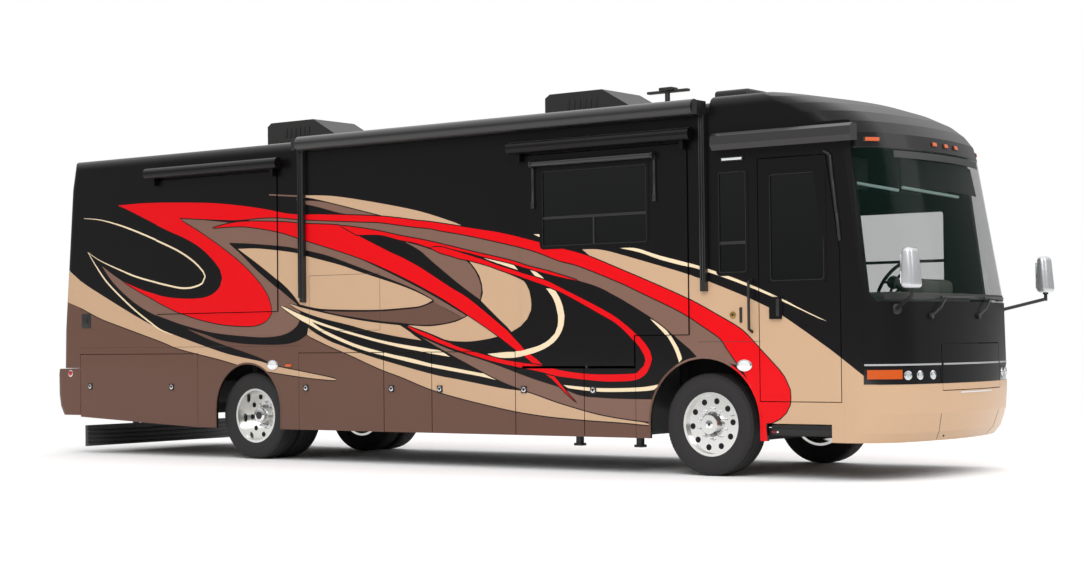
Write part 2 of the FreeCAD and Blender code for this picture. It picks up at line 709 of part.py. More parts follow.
def screen_prism(gap):
    """The windscreen's region, seen from the side, less a gap all round."""
    (low_x, corner_z), (high_x, high) = screen_line()
    low, high, far = at("screen_low") + gap, high - gap, at("nose") + REACH
    corners = [(low_x + at("screen_corner") + gap, low), (far, low), (far, high), (high_x + gap, high),
               (low_x + gap, corner_z)]
    return side_prism(corners, -at("width"), Vector(0, 2 * at("width"), 0))


def pillars(back):
    """The front cap's upright sides behind the windscreen, chamfered towards it."""
    (low_x, low), (high_x, high) = screen_line()
    top, half, foot = at("dome_low"), at("half_width"), at("hood_low")
    face = plan_face(NOSE_END, 0, foot, back, 0)
    face = face.cut(plan_face(NOSE_END, 0, foot, back - REACH, at("shell"))).Faces[0]
    wall = face.extrude(Vector(0, 0, top - foot))
    over = at("shell") + REACH
    rear = back - 3 * over
    corners = [(rear, foot), (low_x - over, foot), (low_x - over, low), (high_x - over, high),
               (high_x - over, top), (rear, top)]
    sides = []
    for hand in (-1, 1):
        region = side_prism(corners, hand * (half + REACH), Vector(2 * over, -hand * 2 * over, 0))
        sides.append(wall.common(region))
    return sides


def make_front():
    nose, half, rear = at("nose"), at("half_width"), at("dome_rear")
    gap, shell, rise = at("door_gap") / 2, at("shell"), at("dome_rise")
    back = rear - NOSE_RUN
    crown = roof_solid(0, rear, nose + REACH, rise)
    body = block((rear, nose + REACH), (-half, half), (0, at("eave") + rise)).fuse(crown)
    walls = joined(end_bands(NOSE_END, NOSE_ROWS, back, 0, shell)).common(body)
    lid = crown.cut(roof_solid(shell, back, nose + 2 * REACH, rise))
    lid = lid.common(joined(end_bands(NOSE_END, NOSE_ROWS[-DOME_ROWS:], back, 0)))
    cap = joined([walls, lid] + pillars(back))
    cap = cap.cut(block((back - REACH, at("cap_seam")), (-half - REACH, half + REACH), (0, at("dome_low"))))
    front = (nose - at("hood_reach"), nose + REACH)
    wide, low, high = at("hood_half"), at("hood_low"), at("hood_high")
    middle = block(front, (-wide - gap, wide + gap), (0, high + gap))
    lamp_x = (at("front_axle") + at("lamp_rear_ahead"), nose + REACH)
    lamp_z = (at("lamp_low"), at("lamp_high"))
    lamps = [block(lamp_x, (at("lamp_inner"), half + REACH), lamp_z),
             block(lamp_x, (-half - REACH, -at("lamp_inner")), lamp_z)]
    front_cap = cap.cut(middle).cut(screen_prism(0)).cut(lamps[0]).cut(lamps[1])
    keep("front_cap", feature("front_cap", solid_of(front_cap)))
    inset = at("glass_inset")
    pane = joined(end_bands(NOSE_END, NOSE_ROWS[4:6], back, inset, inset + at("glass_thick")))
    keep("windshield", feature("windshield", solid_of(pane.common(screen_prism(at("seat_gap"))))))
    hood_region = block(front, (-wide + gap, wide - gap), (low + gap, high - gap))
    keep("front_hood", feature("front_hood", solid_of(cap.common(hood_region))))
    bumper_region = block(front, (-wide - gap, wide + gap), (0, low - gap))
    keep("front_bumper", feature("front_bumper", solid_of(cap.common(bumper_region))))
    lens = joined(end_bands(NOSE_END, NOSE_ROWS[3:5], back, at("lamp_inset"), at("lamp_depth")))
    keep("headlamps", feature("headlamps", Part.Compound([solid_of(lens.common(lamp)) for lamp in lamps])))


def make_rear():
    tail, seam, shell, half = at("tail"), at("tail_seam"), at("shell"), at("half_width")
    back = seam + REACH
    crown = roof_solid(0, tail - REACH, seam)
    body = block((tail - REACH, seam), (-half, half), (0, at("eave"))).fuse(crown)
    walls = joined(end_bands(TAIL_END, TAIL_ROWS, back, 0, shell)).common(body)
    lid = crown.cut(roof_solid(shell, tail - 2 * REACH, seam + REACH))
    lid = lid.common(joined(end_bands(TAIL_END, TAIL_ROWS[-3:], back, 0)))
    cap = walls.fuse(lid)
    gap = at("door_gap") / 2
    wide, low, high = at("engine_door_half"), at("engine_door_low"), at("engine_door_high")
    depth = (tail - REACH, seam - shell)
    opening = block(depth, (-wide - gap, wide + gap), (low - gap, high + gap))
    leaf = block(depth, (-wide + gap, wide - gap), (low + gap, high - gap))
    lamp_half = at("tail_lamp_wide") / 2
    lamp_y = (at("tail_lamp_out") - lamp_half, at("tail_lamp_out") + lamp_half)
    lamp_z = (at("tail_lamp_low"), at("tail_lamp_high"))
    lamps = [block(depth, lamp_y, lamp_z), block(depth, (-lamp_y[1], -lamp_y[0]), lamp_z)]
    keep("rear_cap", feature("rear_cap", solid_of(cap.cut(opening).cut(lamps[0]).cut(lamps[1]))))
    keep("engine_door", feature("engine_door", solid_of(cap.common(leaf))))
    keep("tail_lamps", feature("tail_lamps", Part.Compound([solid_of(cap.common(lamp)) for lamp in lamps])))
    skin = joined(end_bands(TAIL_END, BUMPER_ROWS, back, 0, shell))
    top, setback = BUMPER_ROWS[-1]
    sheet = at("bay_sheet")
    shelf = plan_face(TAIL_END, setback, top - sheet, back, 0).extrude(Vector(0, 0, sheet))
    shelf = shelf.common(block((tail, tail + at("bumper_shelf")), (-half, half), (0, top)))
    trim = block((tail - REACH, seam), (-half, half), (0, top))
    keep("rear_bumper", feature("rear_bumper", solid_of(skin.fuse(shelf).common(trim))))


# Fixed skirt panels with the wheel arches.
def make_skirts():
    panels = []
    for side in SIDES:
        y_outer, y_inner = "half_width", "inner_face"
        low = "skirt_low"
        if side == "right":
            outline = [
                ("seam_front", low),
                ("front_axle + recess_rear_ahead", low),
                ("front_axle + recess_rear_ahead", "recess_high"),
                ("front_axle + recess_front_ahead", "recess_high"),
                ("front_axle + recess_front_ahead", low),
                ("cap_seam", low),
                ("cap_seam", "floor_high"),
                ("door_front + door_gap", "floor_high"),
                ("door_front + door_gap", "door_low - door_gap"),
                ("door_rear - door_gap", "door_low - door_gap"),
                ("door_rear - door_gap", "floor_high"),
                ("seam_front", "floor_high"),
            ]
        else:
            outline = rectangle("seam_front", "cap_seam", low, "floor_high")
        front = side_plate("front_panel_" + side, side, y_outer, y_inner, outline)
        rear = side_plate("rear_panel_" + side, side, y_outer, y_inner,
                          rectangle("seam_tail", "seam_rear", low, "floor_high"))
        for base, axle, radius, high in ((front, "front_axle", "arch_front", "arch_front_high"),
                                         (rear, "rear_axle", "arch_rear", "arch_rear_high")):
            name = base.Name + "_arch"
            start = "-(half_width + 50)" if side == "right" else "inner_face - 50"
            round_part = cylinder(name + "_round", (axle, start, high), "y", radius, "skin + 100")
            straight = side_box(name + "_straight", side, (axle + " - " + radius, axle + " + " + radius),
                                "half_width + 50", "inner_face - 50", ("0", high))
            tool = fuse(name + "_tool", [round_part, straight])
            panels.append(cut(name + "_panel", base, tool))
    keep("skirt_panels", group("skirt_panels", panels))


# Bays between the axles: trays that stand open to the side.
RIGHT_SEAMS = ("seam_front", "seam_second", "seam_third", "seam_fourth", "seam_fifth", "seam_rear")
LEFT_SEAMS = ("seam_front", "seam_third", "seam_fifth", "seam_rear")


def make_bays():
    trays = []
    for side, seams in zip(SIDES, (RIGHT_SEAMS, LEFT_SEAMS)):
        start, end = "seam_rear", "seam_front"
        back = "frame_face - bay_deep"
        pan = side_box("pan_" + side, side, (start, end), "frame_face", back,
                       ("skirt_low + bay_sheet", "skirt_low + 2 * bay_sheet"))
        wall = side_box("bay_back_" + side, side, (start, end), back + " + bay_sheet", back,
                        ("skirt_low + bay_sheet", "floor_low"))
        parts = [pan, wall]
        for index, place in enumerate(seams):
            if index == 0:
                span = (place + " - bay_sheet", place)
            elif index == len(seams) - 1:
                span = (place, place + " + bay_sheet")
            else:
                span = (place + " - bay_sheet / 2", place + " + bay_sheet / 2")
            parts.append(side_box("bay_wall_" + side + str(index), side, span, "frame_face", back,
                                  ("skirt_low + bay_sheet", "floor_low")))
        trays.append(fuse("tray_" + side, parts))
    keep("bay_boxes", group("bay_boxes", trays))


def bay_door(name, side, rear_seam, front_seam, top):
    """A side door of the bays: a flat panel with a paddle latch near its rear edge."""
    rear = rear_seam + " + door_gap / 2"
    front = front_seam + " - door_gap / 2"
    panel = side_plate(name + "_panel", side, "half_width", "inner_face",
                       rectangle(rear, front, "skirt_low", top))
    latch = side_box(name + "_latch", side, (rear + " + 70", rear + " + 70 + latch_size"),
                     "half_width + latch_proud", "half_width - 1",
                     ("latch_high - latch_size / 2", "latch_high + latch_size / 2"))
    keep(name, fuse(name, [panel, latch]))


RIGHT_DOORS = {
    "right_bay_door_1": ("seam_rear", "seam_fifth", "bay_high"),
    "right_bay_door_2": ("seam_fifth", "seam_fourth", "bay_high"),
    "right_bay_door_3": ("seam_fourth", "seam_third", "bay_high"),
    "right_bay_door_4": ("seam_third", "seam_second", "bay_under_slide"),
    "right_bay_door_5": ("seam_second", "seam_front", "bay_under_slide"),
}
LEFT_DOORS = {
    "left_bay_door_1": ("seam_rear", "seam_fifth", "bay_high"),
    "left_bay_door_2": ("seam_fifth", "seam_third", "bay_high"),
    "left_bay_door_3": ("seam_third", "seam_front", "bay_high"),
}


def make_tail_door(side):
    """The top-hinged door behind the rear axle, whose lower edge rises to the tail."""
    rear, front = "tail_seam + door_gap", "seam_tail - door_gap / 2"
    outline = [
        (rear, "skirt_low + tail_rise"), ("seam_tail - 600", "skirt_low + 25"),
        (front, "skirt_low"), (front, "bay_high"), (rear, "bay_high"),
    ]
    name = side + "_tail_door"
    panel = side_plate(name + "_panel", side, "half_width", "inner_face", outline)
    parts = [panel]
    for index, place in enumerate((rear + " + 140", front + " - 460")):
        parts.append(side_box(name + "_latch" + str(index), side, (place, place + " + latch_size"),
                              "half_width + latch_proud", "half_width - 1",
                              ("latch_high - latch_size / 2", "latch_high + latch_size / 2")))
    keep(name, fuse(name, parts))


# Entry door with its pane and handle, and the sliding step below it.
def make_entry():
    rear, front = "door_rear", "door_front"
    outline = [(rear, "door_low"), (front, "door_low"), (front, "door_knee"),
               (front + " - door_slant", "door_high"), (rear, "door_high")]
    rim = "door_window_rim"
    window = [
        (rear + " + " + rim, "door_window_low"), (front + " - 1.4 * " + rim, "door_window_low"),
        (front + " - 1.4 * " + rim, "door_knee"),
        (front + " - door_slant - 1.3 * " + rim, "door_window_high"),
        (rear + " + " + rim, "door_window_high"),
    ]
    leaf = side_plate("entry_leaf", "right", "half_width", "inner_face", outline, [window])
    handle = side_box("entry_handle", "right", (rear + " + 115", rear + " + 235"), "half_width + 25",
                      "half_width - 1", ("1460", "1660"))
    keep("entry_door", fuse("entry_door", [leaf, handle]))
    pane = side_plate("entry_door_glass", "right", "half_width - 14",
                      "half_width - 14 - glass_thick", window)
    keep("entry_door_glass", pane)
    start = "front_axle + recess_rear_ahead + 24"
    step = side_box("entry_step", "right", (start, start + " + step_long"), "frame_face - 2",
                    "frame_face - 2 - step_deep", ("step_low", "step_high"))
    keep("entry_step", step)


# Slide-out rooms: a face, a box that is open to the inside, runners and a rolled cover on top.
def raise_floor(name, side, piece, start, top):
    """Takes away the part of a room ahead of a place and below a height."""
    step = side_box(name + "_step", side, (start, start + " + length"), "half_width + 60",
                    "half_width - slide_deep - 20", ("skirt_low", top))
    return cut(name + "_stepped", piece, step)


def make_slide(name, side, rear, front, high, outline, windows, seat, runner_out, floor_of_box, step=None):
    face = side_plate(name + "_face", side, "half_width + slide_proud", "inner_face", outline, windows)
    inset = "slide_inset"
    depth = "half_width - slide_deep"
    span = (rear + " + " + inset, front + " - " + inset)
    heights = (floor_of_box, high + " - " + inset)
    outside = side_box(name + "_outside", side, span, "inner_face + 1", depth, heights)
    inside_span = (span[0] + " + slide_wall", span[1] + " - slide_wall")
    inside = side_box(name + "_inside", side, inside_span, "inner_face", depth + " - 10",
                      (heights[0] + " + slide_wall", heights[1] + " - slide_wall"))
    rest = side_box(name + "_front_gap", side, inside_span, "half_width + 50", "inner_face",
                    (heights[0] + " + slide_wall", heights[1] + " - slide_wall"))
    hollow = fuse(name + "_hollow", [inside, rest])
    seat_end = span[1]
    if step:
        seat_end = step[0] + " - " + inset
        top = step[1] + " + " + inset
        outside = raise_floor(name + "_outside", side, outside, seat_end, top)
        hollow = raise_floor(name + "_hollow", side, hollow, seat_end + " - slide_wall",
                             top + " + slide_wall")
    shell = cut(name + "_shell", outside, hollow)
    parts = [face, shell]
    for index, place in enumerate((span[0] + " + 150", seat_end + " - 150 - runner_wide")):
        parts.append(side_box(name + "_runner" + str(index), side, (place, place + " + runner_wide"),
                              runner_out, depth, (seat + " + seat_gap", floor_of_box + " + 1")))
    roll_y = side_y(side, "half_width + slide_proud + topper_radius")
    roll_z = high + " + topper_radius + 20"
    long = front + " - (" + rear + ") + 2 * topper_over"
    parts.append(cylinder(name + "_roll", (rear + " - topper_over", roll_y, roll_z), "x",
                          "topper_radius", long))
    for index, place in enumerate((rear, front + " - 40")):
        parts.append(side_box(name + "_bracket" + str(index), side, (place, place + " + 40"),
                              "half_width + slide_proud + topper_radius", "half_width + slide_proud - 10",
                              (high + " - 60", roll_z)))
    keep(name, fuse(name, parts))


def make_slides():
    window = rectangle("front_slide_rear + front_slide_window_ahead",
                       "front_slide_front - front_slide_window_behind",
                       "front_slide_window_low", "front_slide_window_high")
    notch = "front_slide_front - front_slide_notch_long"
    outline = [
        ("front_slide_rear", "front_slide_low"), (notch, "front_slide_low"),
        (notch, "front_slide_notch"), ("front_slide_front", "front_slide_notch"),
        ("front_slide_front", "front_slide_high"), ("front_slide_rear", "front_slide_high"),
    ]
    make_slide("right_front_slide", "right", "front_slide_rear", "front_slide_front", "front_slide_high",
               outline, [window], "floor_high", "frame_face", "floor_high + runner_high",
               (notch, "front_slide_notch"))
    rear_outline = rectangle("rear_slide_rear", "rear_slide_front", "rear_slide_low", "rear_slide_high")
    make_slide("right_rear_slide", "right", "rear_slide_rear", "rear_slide_front", "rear_slide_high",
               rear_outline, [], "rear_slide_low - door_gap", "half_width - 5",
               "rear_slide_low + slide_inset")
    left_windows = []
    for share in ("left_slide_rear + 700", "left_slide_front - 700 - left_window_long"):
        left_windows.append(rectangle(share, share + " + left_window_long",
                                      "left_window_low", "left_window_high"))
    left_outline = rectangle("left_slide_rear", "left_slide_front", "left_slide_low", "front_slide_high")
    make_slide("left_slide", "left", "left_slide_rear", "left_slide_front", "front_slide_high",
               left_outline, left_windows, "floor_high", "frame_face", "floor_high + runner_high")
    pane_out, pane_in = "half_width + slide_proud - 14", "half_width + slide_proud - 14 - glass_thick"
    keep("right_slide_glass", side_plate("right_slide_glass", "right", pane_out, pane_in, window))
    panes = []
    for index, corners in enumerate(left_windows):
        panes.append(side_plate("left_pane" + str(index), "left", pane_out, pane_in, corners))
    keep("left_slide_glass", group("left_slide_glass", panes))


# Engine, guard and axles.
def make_engine():
    low = ("rear_axle - engine_behind - engine_long", "-rail_out + rail_wide", "engine_low")
    high = ("rear_axle - engine_behind", "rail_out - rail_wide", "engine_high")
    keep("engine_block", box("engine_block", low, high))


def make_guard():
    rear = "rear_axle - guard_behind"
    parts = [box("guard_bar", (rear, "-guard_wide / 2", "guard_low"),
                 (rear + " + guard_thick", "guard_wide / 2", "guard_high"))]
    for side in SIDES:
        parts.append(side_box("guard_hanger_" + side, side, (rear, rear + " + guard_thick"),
                              "rail_out", "rail_out - rail_wide", ("guard_high - 1", "rail_low")))
    keep("rear_guard", fuse("rear_guard", parts))


def make_axles():
    beam_high = "wheel_high - beam_drop"
    beam_low = beam_high + " - beam_size"
    beam_span = ("front_axle - beam_size / 2", "front_axle + beam_size / 2")
    parts = [box("beam", (beam_span[0], "-kingpin_out + eye_radius + 25", beam_low),
                 ("front_axle + beam_size / 2", "kingpin_out - eye_radius - 25", beam_high))]
    eye_low = "wheel_high - eye_high / 2"
    for side in SIDES:
        parts.append(side_box("beam_end_" + side, side, beam_span,
                              "kingpin_out - eye_radius - 25", "kingpin_out - eye_radius - 85",
                              (beam_high + " - beam_size", "wheel_high + eye_high / 2")))
        parts.append(side_box("beam_neck_" + side, side, ("front_axle - 45", "front_axle + 45"),
                              "kingpin_out - 30", "kingpin_out - eye_radius - 30",
                              (eye_low + " + 5", "wheel_high + eye_high / 2 - 5")))
        parts.append(cylinder("eye_" + side, ("front_axle", side_y(side, "kingpin_out"), eye_low), "z",
                              "eye_radius", "eye_high"))
        parts.append(side_box("spring_seat_" + side, side, ("front_axle - 90", "front_axle + 90"),
                              "rail_out + 30", "rail_out - rail_wide - 60",
                              (beam_high + " - 5", beam_high + " + 20")))
    solid = fuse("beam_solid", parts)
    bores = []
    for side in SIDES:
        bores.append(cylinder("eye_bore_" + side,
                              ("front_axle", side_y(side, "kingpin_out"), eye_low + " - 10"),
                              "z", "kingpin_radius + pin_clearance", "eye_high + 20"))
    keep("front_axle_beam", cut("front_axle_beam", solid, fuse("eye_bores", bores)))
    tube = cylinder("rear_tube", ("rear_axle", "-(rear_wheel_out + 60)", "wheel_high"), "y",
                    "hub_bore - pin_clearance",
                    "2 * (rear_wheel_out + 60)")
    housing = cylinder("rear_housing", ("rear_axle", "-600", "wheel_high"), "y", "axle_tube", "1200")
    bowl = doc.addObject("Part::Sphere", "rear_bowl")
    bind(bowl, "Radius", "axle_bowl")
    bind(bowl, "Placement.Base.x", "rear_axle")
    bind(bowl, "Placement.Base.z", "wheel_high")
    seats = []
    for side in SIDES:
        seats.append(side_box("rear_seat_" + side, side, ("rear_axle - 90", "rear_axle + 90"),
                              "rail_out + 30", "rail_out - rail_wide - 60",
                              ("wheel_high + axle_tube - 20", "wheel_high + axle_tube + 5")))
    keep("rear_axle_housing", fuse("rear_axle_housing", [tube, housing, bowl] + seats))
    springs = []
    for side in SIDES:
        for name, axle, low in (("front", "front_axle", beam_high + " + 20"),
                                ("rear", "rear_axle", "wheel_high + axle_tube + 5")):
            springs.append(cylinder(name + "_spring_" + side,
                                    (axle, side_y(side, "rail_out - rail_wide / 2"), low),
                                    "z", "spring_radius / 2", "rail_low - (" + low + ")"))
    keep("air_springs", group("air_springs", springs))


def make_knuckle(side):
    """A steering knuckle: lugs over and under the beam's eye, a web, a kingpin and a stub axle."""
    name = side + "_knuckle"
    eye_low, eye_high = "wheel_high - eye_high / 2", "wheel_high + eye_high / 2"
    low, high = eye_low + " - lug_gap - lug_thick", eye_high + " + lug_gap + lug_thick"
    pin_y = side_y(side, "kingpin_out")
    web = side_box(name + "_web", side, ("front_axle - 45", "front_axle + 45"),
                   "kingpin_out + eye_radius + 30", "kingpin_out + eye_radius + 6", (low, high))
    parts = [web]
    for level, start, end in (("low", low, eye_low + " - lug_gap"),
                              ("high", eye_high + " + lug_gap", high)):
        parts.append(side_box(name + "_lug_" + level, side, ("front_axle - 45", "front_axle + 45"),
                              "kingpin_out + eye_radius + 10", "kingpin_out - 45", (start, end)))
    parts.append(cylinder(name + "_pin", ("front_axle", pin_y, low + " + 2"), "z", "kingpin_radius",
                          high + " - (" + low + ") - 4"))
    stub_long = "front_wheel_out + 100 - kingpin_out - eye_radius - 20"
    start_y = side_y(side, "kingpin_out + eye_radius + 20")
    if side == "right":
        start_y = "-(front_wheel_out + 100)"
    parts.append(cylinder(name + "_stub", ("front_axle", start_y, "wheel_high"), "y",
                          "hub_bore - pin_clearance", stub_long))
    keep(name, fuse(name, parts))


# Wheels, each made about its own axis along Y and then placed.
def place(piece, x_text, y_text, z_text):
    for axis, text in zip("xyz", (x_text, y_text, z_text)):
        bind(piece, "Placement.Base." + axis, text)


def ring(name, outline):
    """A body turned about the Y axis; its outline holds pairs of radius and width."""
    body = doc.addObject("PartDesign::Body", name)
    sketch = sketch_on(body, name + "_section", "XY_Plane")
    draw_polygon(sketch, outline)
    turned = body.newObject("PartDesign::Revolution", name + "_turn")
    turned.Profile = sketch
    turned.ReferenceAxis = (sketch, ["V_Axis"])
    turned.Angle = 360
    body.Tip = turned
    return body


def tyre_outline():
    """Half section of a tyre: bead, side wall, shoulder and tread."""
    wide, bead, out = "tyre_wide / 2", "rim_radius + seat_gap", "tyre_radius"
    inner = [(bead, "-rim_wide / 2 + 13"), ("rim_edge + 6", "-rim_wide / 2 + 13"),
             ("rim_edge + 6", "-rim_wide / 2 - 4"),
             ("rim_edge + 60", "-" + wide + " + 6"), ("rim_edge + 100", "-" + wide),
             (out + " - 45", "-" + wide + " + 8"), (out + " - 12", "-" + wide + " + 22"),
             (out, "-" + wide + " + 40")]
    mirrored = [(radius, "-(" + width + ")") for radius, width in reversed(inner)]
    return inner + mirrored


def make_rim(name, disc_at):
    """A steel rim: barrel with flanges, a disc at the given width place, and a hub with its bore."""
    half = "rim_wide / 2"
    seat, sheet, edge = "rim_radius", "rim_sheet", "rim_edge"
    disc_low, disc_high = disc_at, disc_at + " + disc_thick"
    outline = [
        ("hub_bore", disc_low + " - 60"), ("hub_radius", disc_low + " - 60"), ("hub_radius", disc_low),
        (seat + " - " + sheet, disc_low), (seat + " - " + sheet, "-" + half), (edge, "-" + half),
        (edge, "-" + half + " + 9"), (seat, "-" + half + " + 9"), (seat, half + " - 9"),
        (edge, half + " - 9"), (edge, half), (seat + " - " + sheet, half),
        (seat + " - " + sheet, disc_high), ("hub_radius", disc_high), ("hub_radius", disc_high + " + 25"),
        ("hub_radius - 30", disc_high + " + 70"), ("hub_bore", disc_high + " + 70"),
    ]
    body = ring(name, outline)
    doc.recompute()
    hole_sketch = sketch_on(body, name + "_hole_circle", "XZ_Plane", "-(" + disc_high + ") - 5")
    draw_circle(hole_sketch, "hand_hole_circle", "0", "hand_hole")
    pocket = body.newObject("PartDesign::Pocket", name + "_hole")
    pocket.Profile = hole_sketch
    bind(pocket, "Length", "disc_thick + 10")
    pocket.Reversed = False
    doc.recompute()
    around = body.newObject("PartDesign::PolarPattern", name + "_holes")
    around.Originals = [pocket]
    around.Axis = (origin_item(body, "Y_Axis"), [""])
    around.Angle = 360
    bind(around, "Occurrences", "hand_hole_count")
    body.Tip = around
    return body


def make_wheels():
    for side in SIDES:
        way = "-1" if side == "right" else "1"
        front_disc, rear_disc = "rim_wide / 2 - 60", "-rim_wide / 2 + 22"
        rim = make_rim("front_" + side + "_rim", front_disc)
        tyre = ring("front_" + side + "_tyre", tyre_outline())
        turn = Rotation(Vector(0, 0, 1), 180 if side == "right" else 0)
        for piece in (rim, tyre):
            piece.Placement = Placement(Vector(), turn)
            place(piece, "front_axle", way + " * front_wheel_out", "wheel_high")
        keep("front_" + side + "_rim", rim)
        keep("front_" + side + "_tyre", tyre)
        rims, tyres = [], []
        for level, spot, disc in (("outer", "rear_wheel_out", rear_disc),
                                  ("inner", "rear_wheel_out - twin_space", "rim_wide / 2 - 44")):
            twin = make_rim("rear_" + side + "_rim_" + level, disc)
            cover = ring("rear_" + side + "_tyre_" + level, tyre_outline())
            for piece in (twin, cover):
                piece.Placement = Placement(Vector(), turn)
                place(piece, "rear_axle", way + " * (" + spot + ")", "wheel_high")
            rims.append(twin)
            tyres.append(cover)
        keep("rear_" + side + "_rims", group("rear_" + side + "_rims", rims))
        keep("rear_" + side + "_tyres", group("rear_" + side + "_tyres", tyres))


# Awnings, roof units, mirrors, wipers and the cab.
def make_awnings():
    roll_y = "-(half_width + awning_radius + 18)"
    front = "front_axle"
    parts = [cylinder("awning_roll", (front + " - awning_long", roll_y, "awning_high"), "x",
                      "awning_radius", "awning_long")]
    for name, start in (("rear", front + " - awning_long - arm_wide"), ("front", front)):
        parts.append(box("awning_arm_" + name, (start, "-(half_width + arm_thick)", "arm_low"),
                         (start + " + arm_wide", "-half_width", "awning_high - 60")))
        parts.append(box("awning_head_" + name,
                         (start, "-(half_width + 2 * awning_radius)", "awning_high - 70"),
                         (start + " + arm_wide", "-half_width", "awning_high + 60")))
    patio = fuse("patio_awning_solid", parts)
    rear = "front_axle + door_awning_rear"
    low, high = "door_awning_low", "door_awning_high"
    outline = [("-half_width", low + " + 10"), ("-half_width - door_awning_deep + 40", low),
               ("-half_width - door_awning_deep", low + " + 50"),
               ("-half_width - door_awning_deep + 10", high + " - 30"),
               ("-half_width - door_awning_deep + 50", high), ("-half_width", high)]
    door = plate("door_awning_case", "YZ_Plane", rear, rear + " + door_awning_long", outline)
    keep("awnings", group("awnings", [patio, door]))


def make_roof_units():
    units = []
    for index, front in enumerate(("front_axle - ac_front_behind", "front_axle - ac_rear_behind")):
        base, top = "roof_high - 12", "roof_high - 12 + ac_high"
        outline = [(front + " - ac_long", base), (front, base), (front, base + " + 60"),
                   (front + " - 420", top), (front + " - ac_long + 60", top),
                   (front + " - ac_long", top + " - 40")]
        body = plate("ac_body" + str(index), "XZ_Plane", "-ac_wide / 2", "ac_wide / 2", outline)
        units.append(body)
    doc.recompute()
    crown = roof_solid(0, at("tail_seam"), at("dome_rear"))
    shapes = [unit.Shape.cut(crown) for unit in units]
    keep("roof_air_units", feature("roof_air_units", Part.Compound([solid_of(shape) for shape in shapes])))


def nose_tip(height):
    """Where the nose ends at a height, between the rows of its table."""
    for (low, first), (high, second) in zip(NOSE_ROWS, NOSE_ROWS[1:]):
        if low <= height <= high:
            return at("nose") - first - (second - first) * (height - low) / (high - low)
    return at("nose")


def nose_point(across, height, proud):
    """A point in front of the nose's surface."""
    side, depth, turn = end_arcs(NOSE_END)
    broad, small = at("nose_arc"), at("nose_corner")
    out = abs(across)
    if out <= broad * math.sin(turn):
        behind = broad - math.sqrt(broad ** 2 - out ** 2)
    else:
        behind = depth - math.sqrt(small ** 2 - (out - side) ** 2)
    return Vector(nose_tip(height) - behind + proud, across, height)


def nose_form():
    """The solid nose from the hood's bottom to the windscreen's top."""
    return joined(end_bands(NOSE_END, NOSE_ROWS[3:6], at("dome_rear"), 0))


def rod(start, end, radius):
    """A round rod between two points."""
    way = end - start
    return Part.makeCylinder(radius, way.Length, start, way)


def rod_chain(points, radius):
    """Rods from point to point, with balls where they meet."""
    parts = [rod(a, b, radius) for a, b in zip(points, points[1:])]
    parts += [Part.makeSphere(radius * 1.02, point) for point in points[1:-1]]
    return parts[0].multiFuse(parts[1:]).removeSplitter()


def make_mirrors():
    shapes = []
    for way in (-1, 1):
        foot_z, low, high = at("mirror_foot_high"), at("mirror_low"), at("mirror_high")
        out, wide, deep = at("mirror_out"), at("mirror_wide"), at("mirror_deep")
        front = at("length") / 2
        foot = nose_point(way * at("mirror_foot_out"), foot_z, 0)
        centre = Vector(front - deep / 2, way * out, low)
        head = block((front - deep, front), (way * out - wide / 2, way * out + wide / 2), (low, high))
        upright = [edge for edge in head.Edges
                   if abs(edge.Vertexes[0].Z - edge.Vertexes[1].Z) > 1]
        head = head.makeFillet(at("mirror_round"), upright)
        knee = Vector(centre.x, centre.y, low - 60)
        arm = rod_chain([foot + Vector(-20, 0, 0), knee, centre + Vector(0, 0, 20)], at("mirror_arm"))
        base = Part.makeCylinder(45, 50, foot + Vector(-30, way * -15, 0), Vector(0.55, way * 0.83, 0))
        shapes.append(solid_of(head.fuse(arm).fuse(base).cut(nose_form())))
    keep("mirrors", feature("mirrors", Part.Compound(shapes)))


def make_wipers():
    shapes = []
    radius = at("wiper_rod")
    for pivot, reach, blade_from, blade_to in ((-760, -560, -640, -60), (60, 330, 160, 760)):
        low = at("screen_low")
        foot = low - at("wiper_below")
        arm = [nose_point(pivot, foot, 12), nose_point((pivot + reach) / 2, low - 50, 40),
               nose_point(reach, low + 40, 34)]
        count = 5
        blade = [nose_point(blade_from + (blade_to - blade_from) * step / (count - 1), low + 40, 34)
                 for step in range(count)]
        base = Part.makeCylinder(28, 26, nose_point(pivot, foot, -3), Vector(1, 0, 0))
        whole = rod_chain(arm, radius).fuse(rod_chain(blade, radius)).fuse(base)
        shapes.append(solid_of(whole.removeSplitter().cut(nose_form())))
    keep("wipers", feature("wipers", Part.Compound(shapes)))


# How far the steering wheel's plane leans from the horizontal, in degrees.
STEERING_TILT = -55


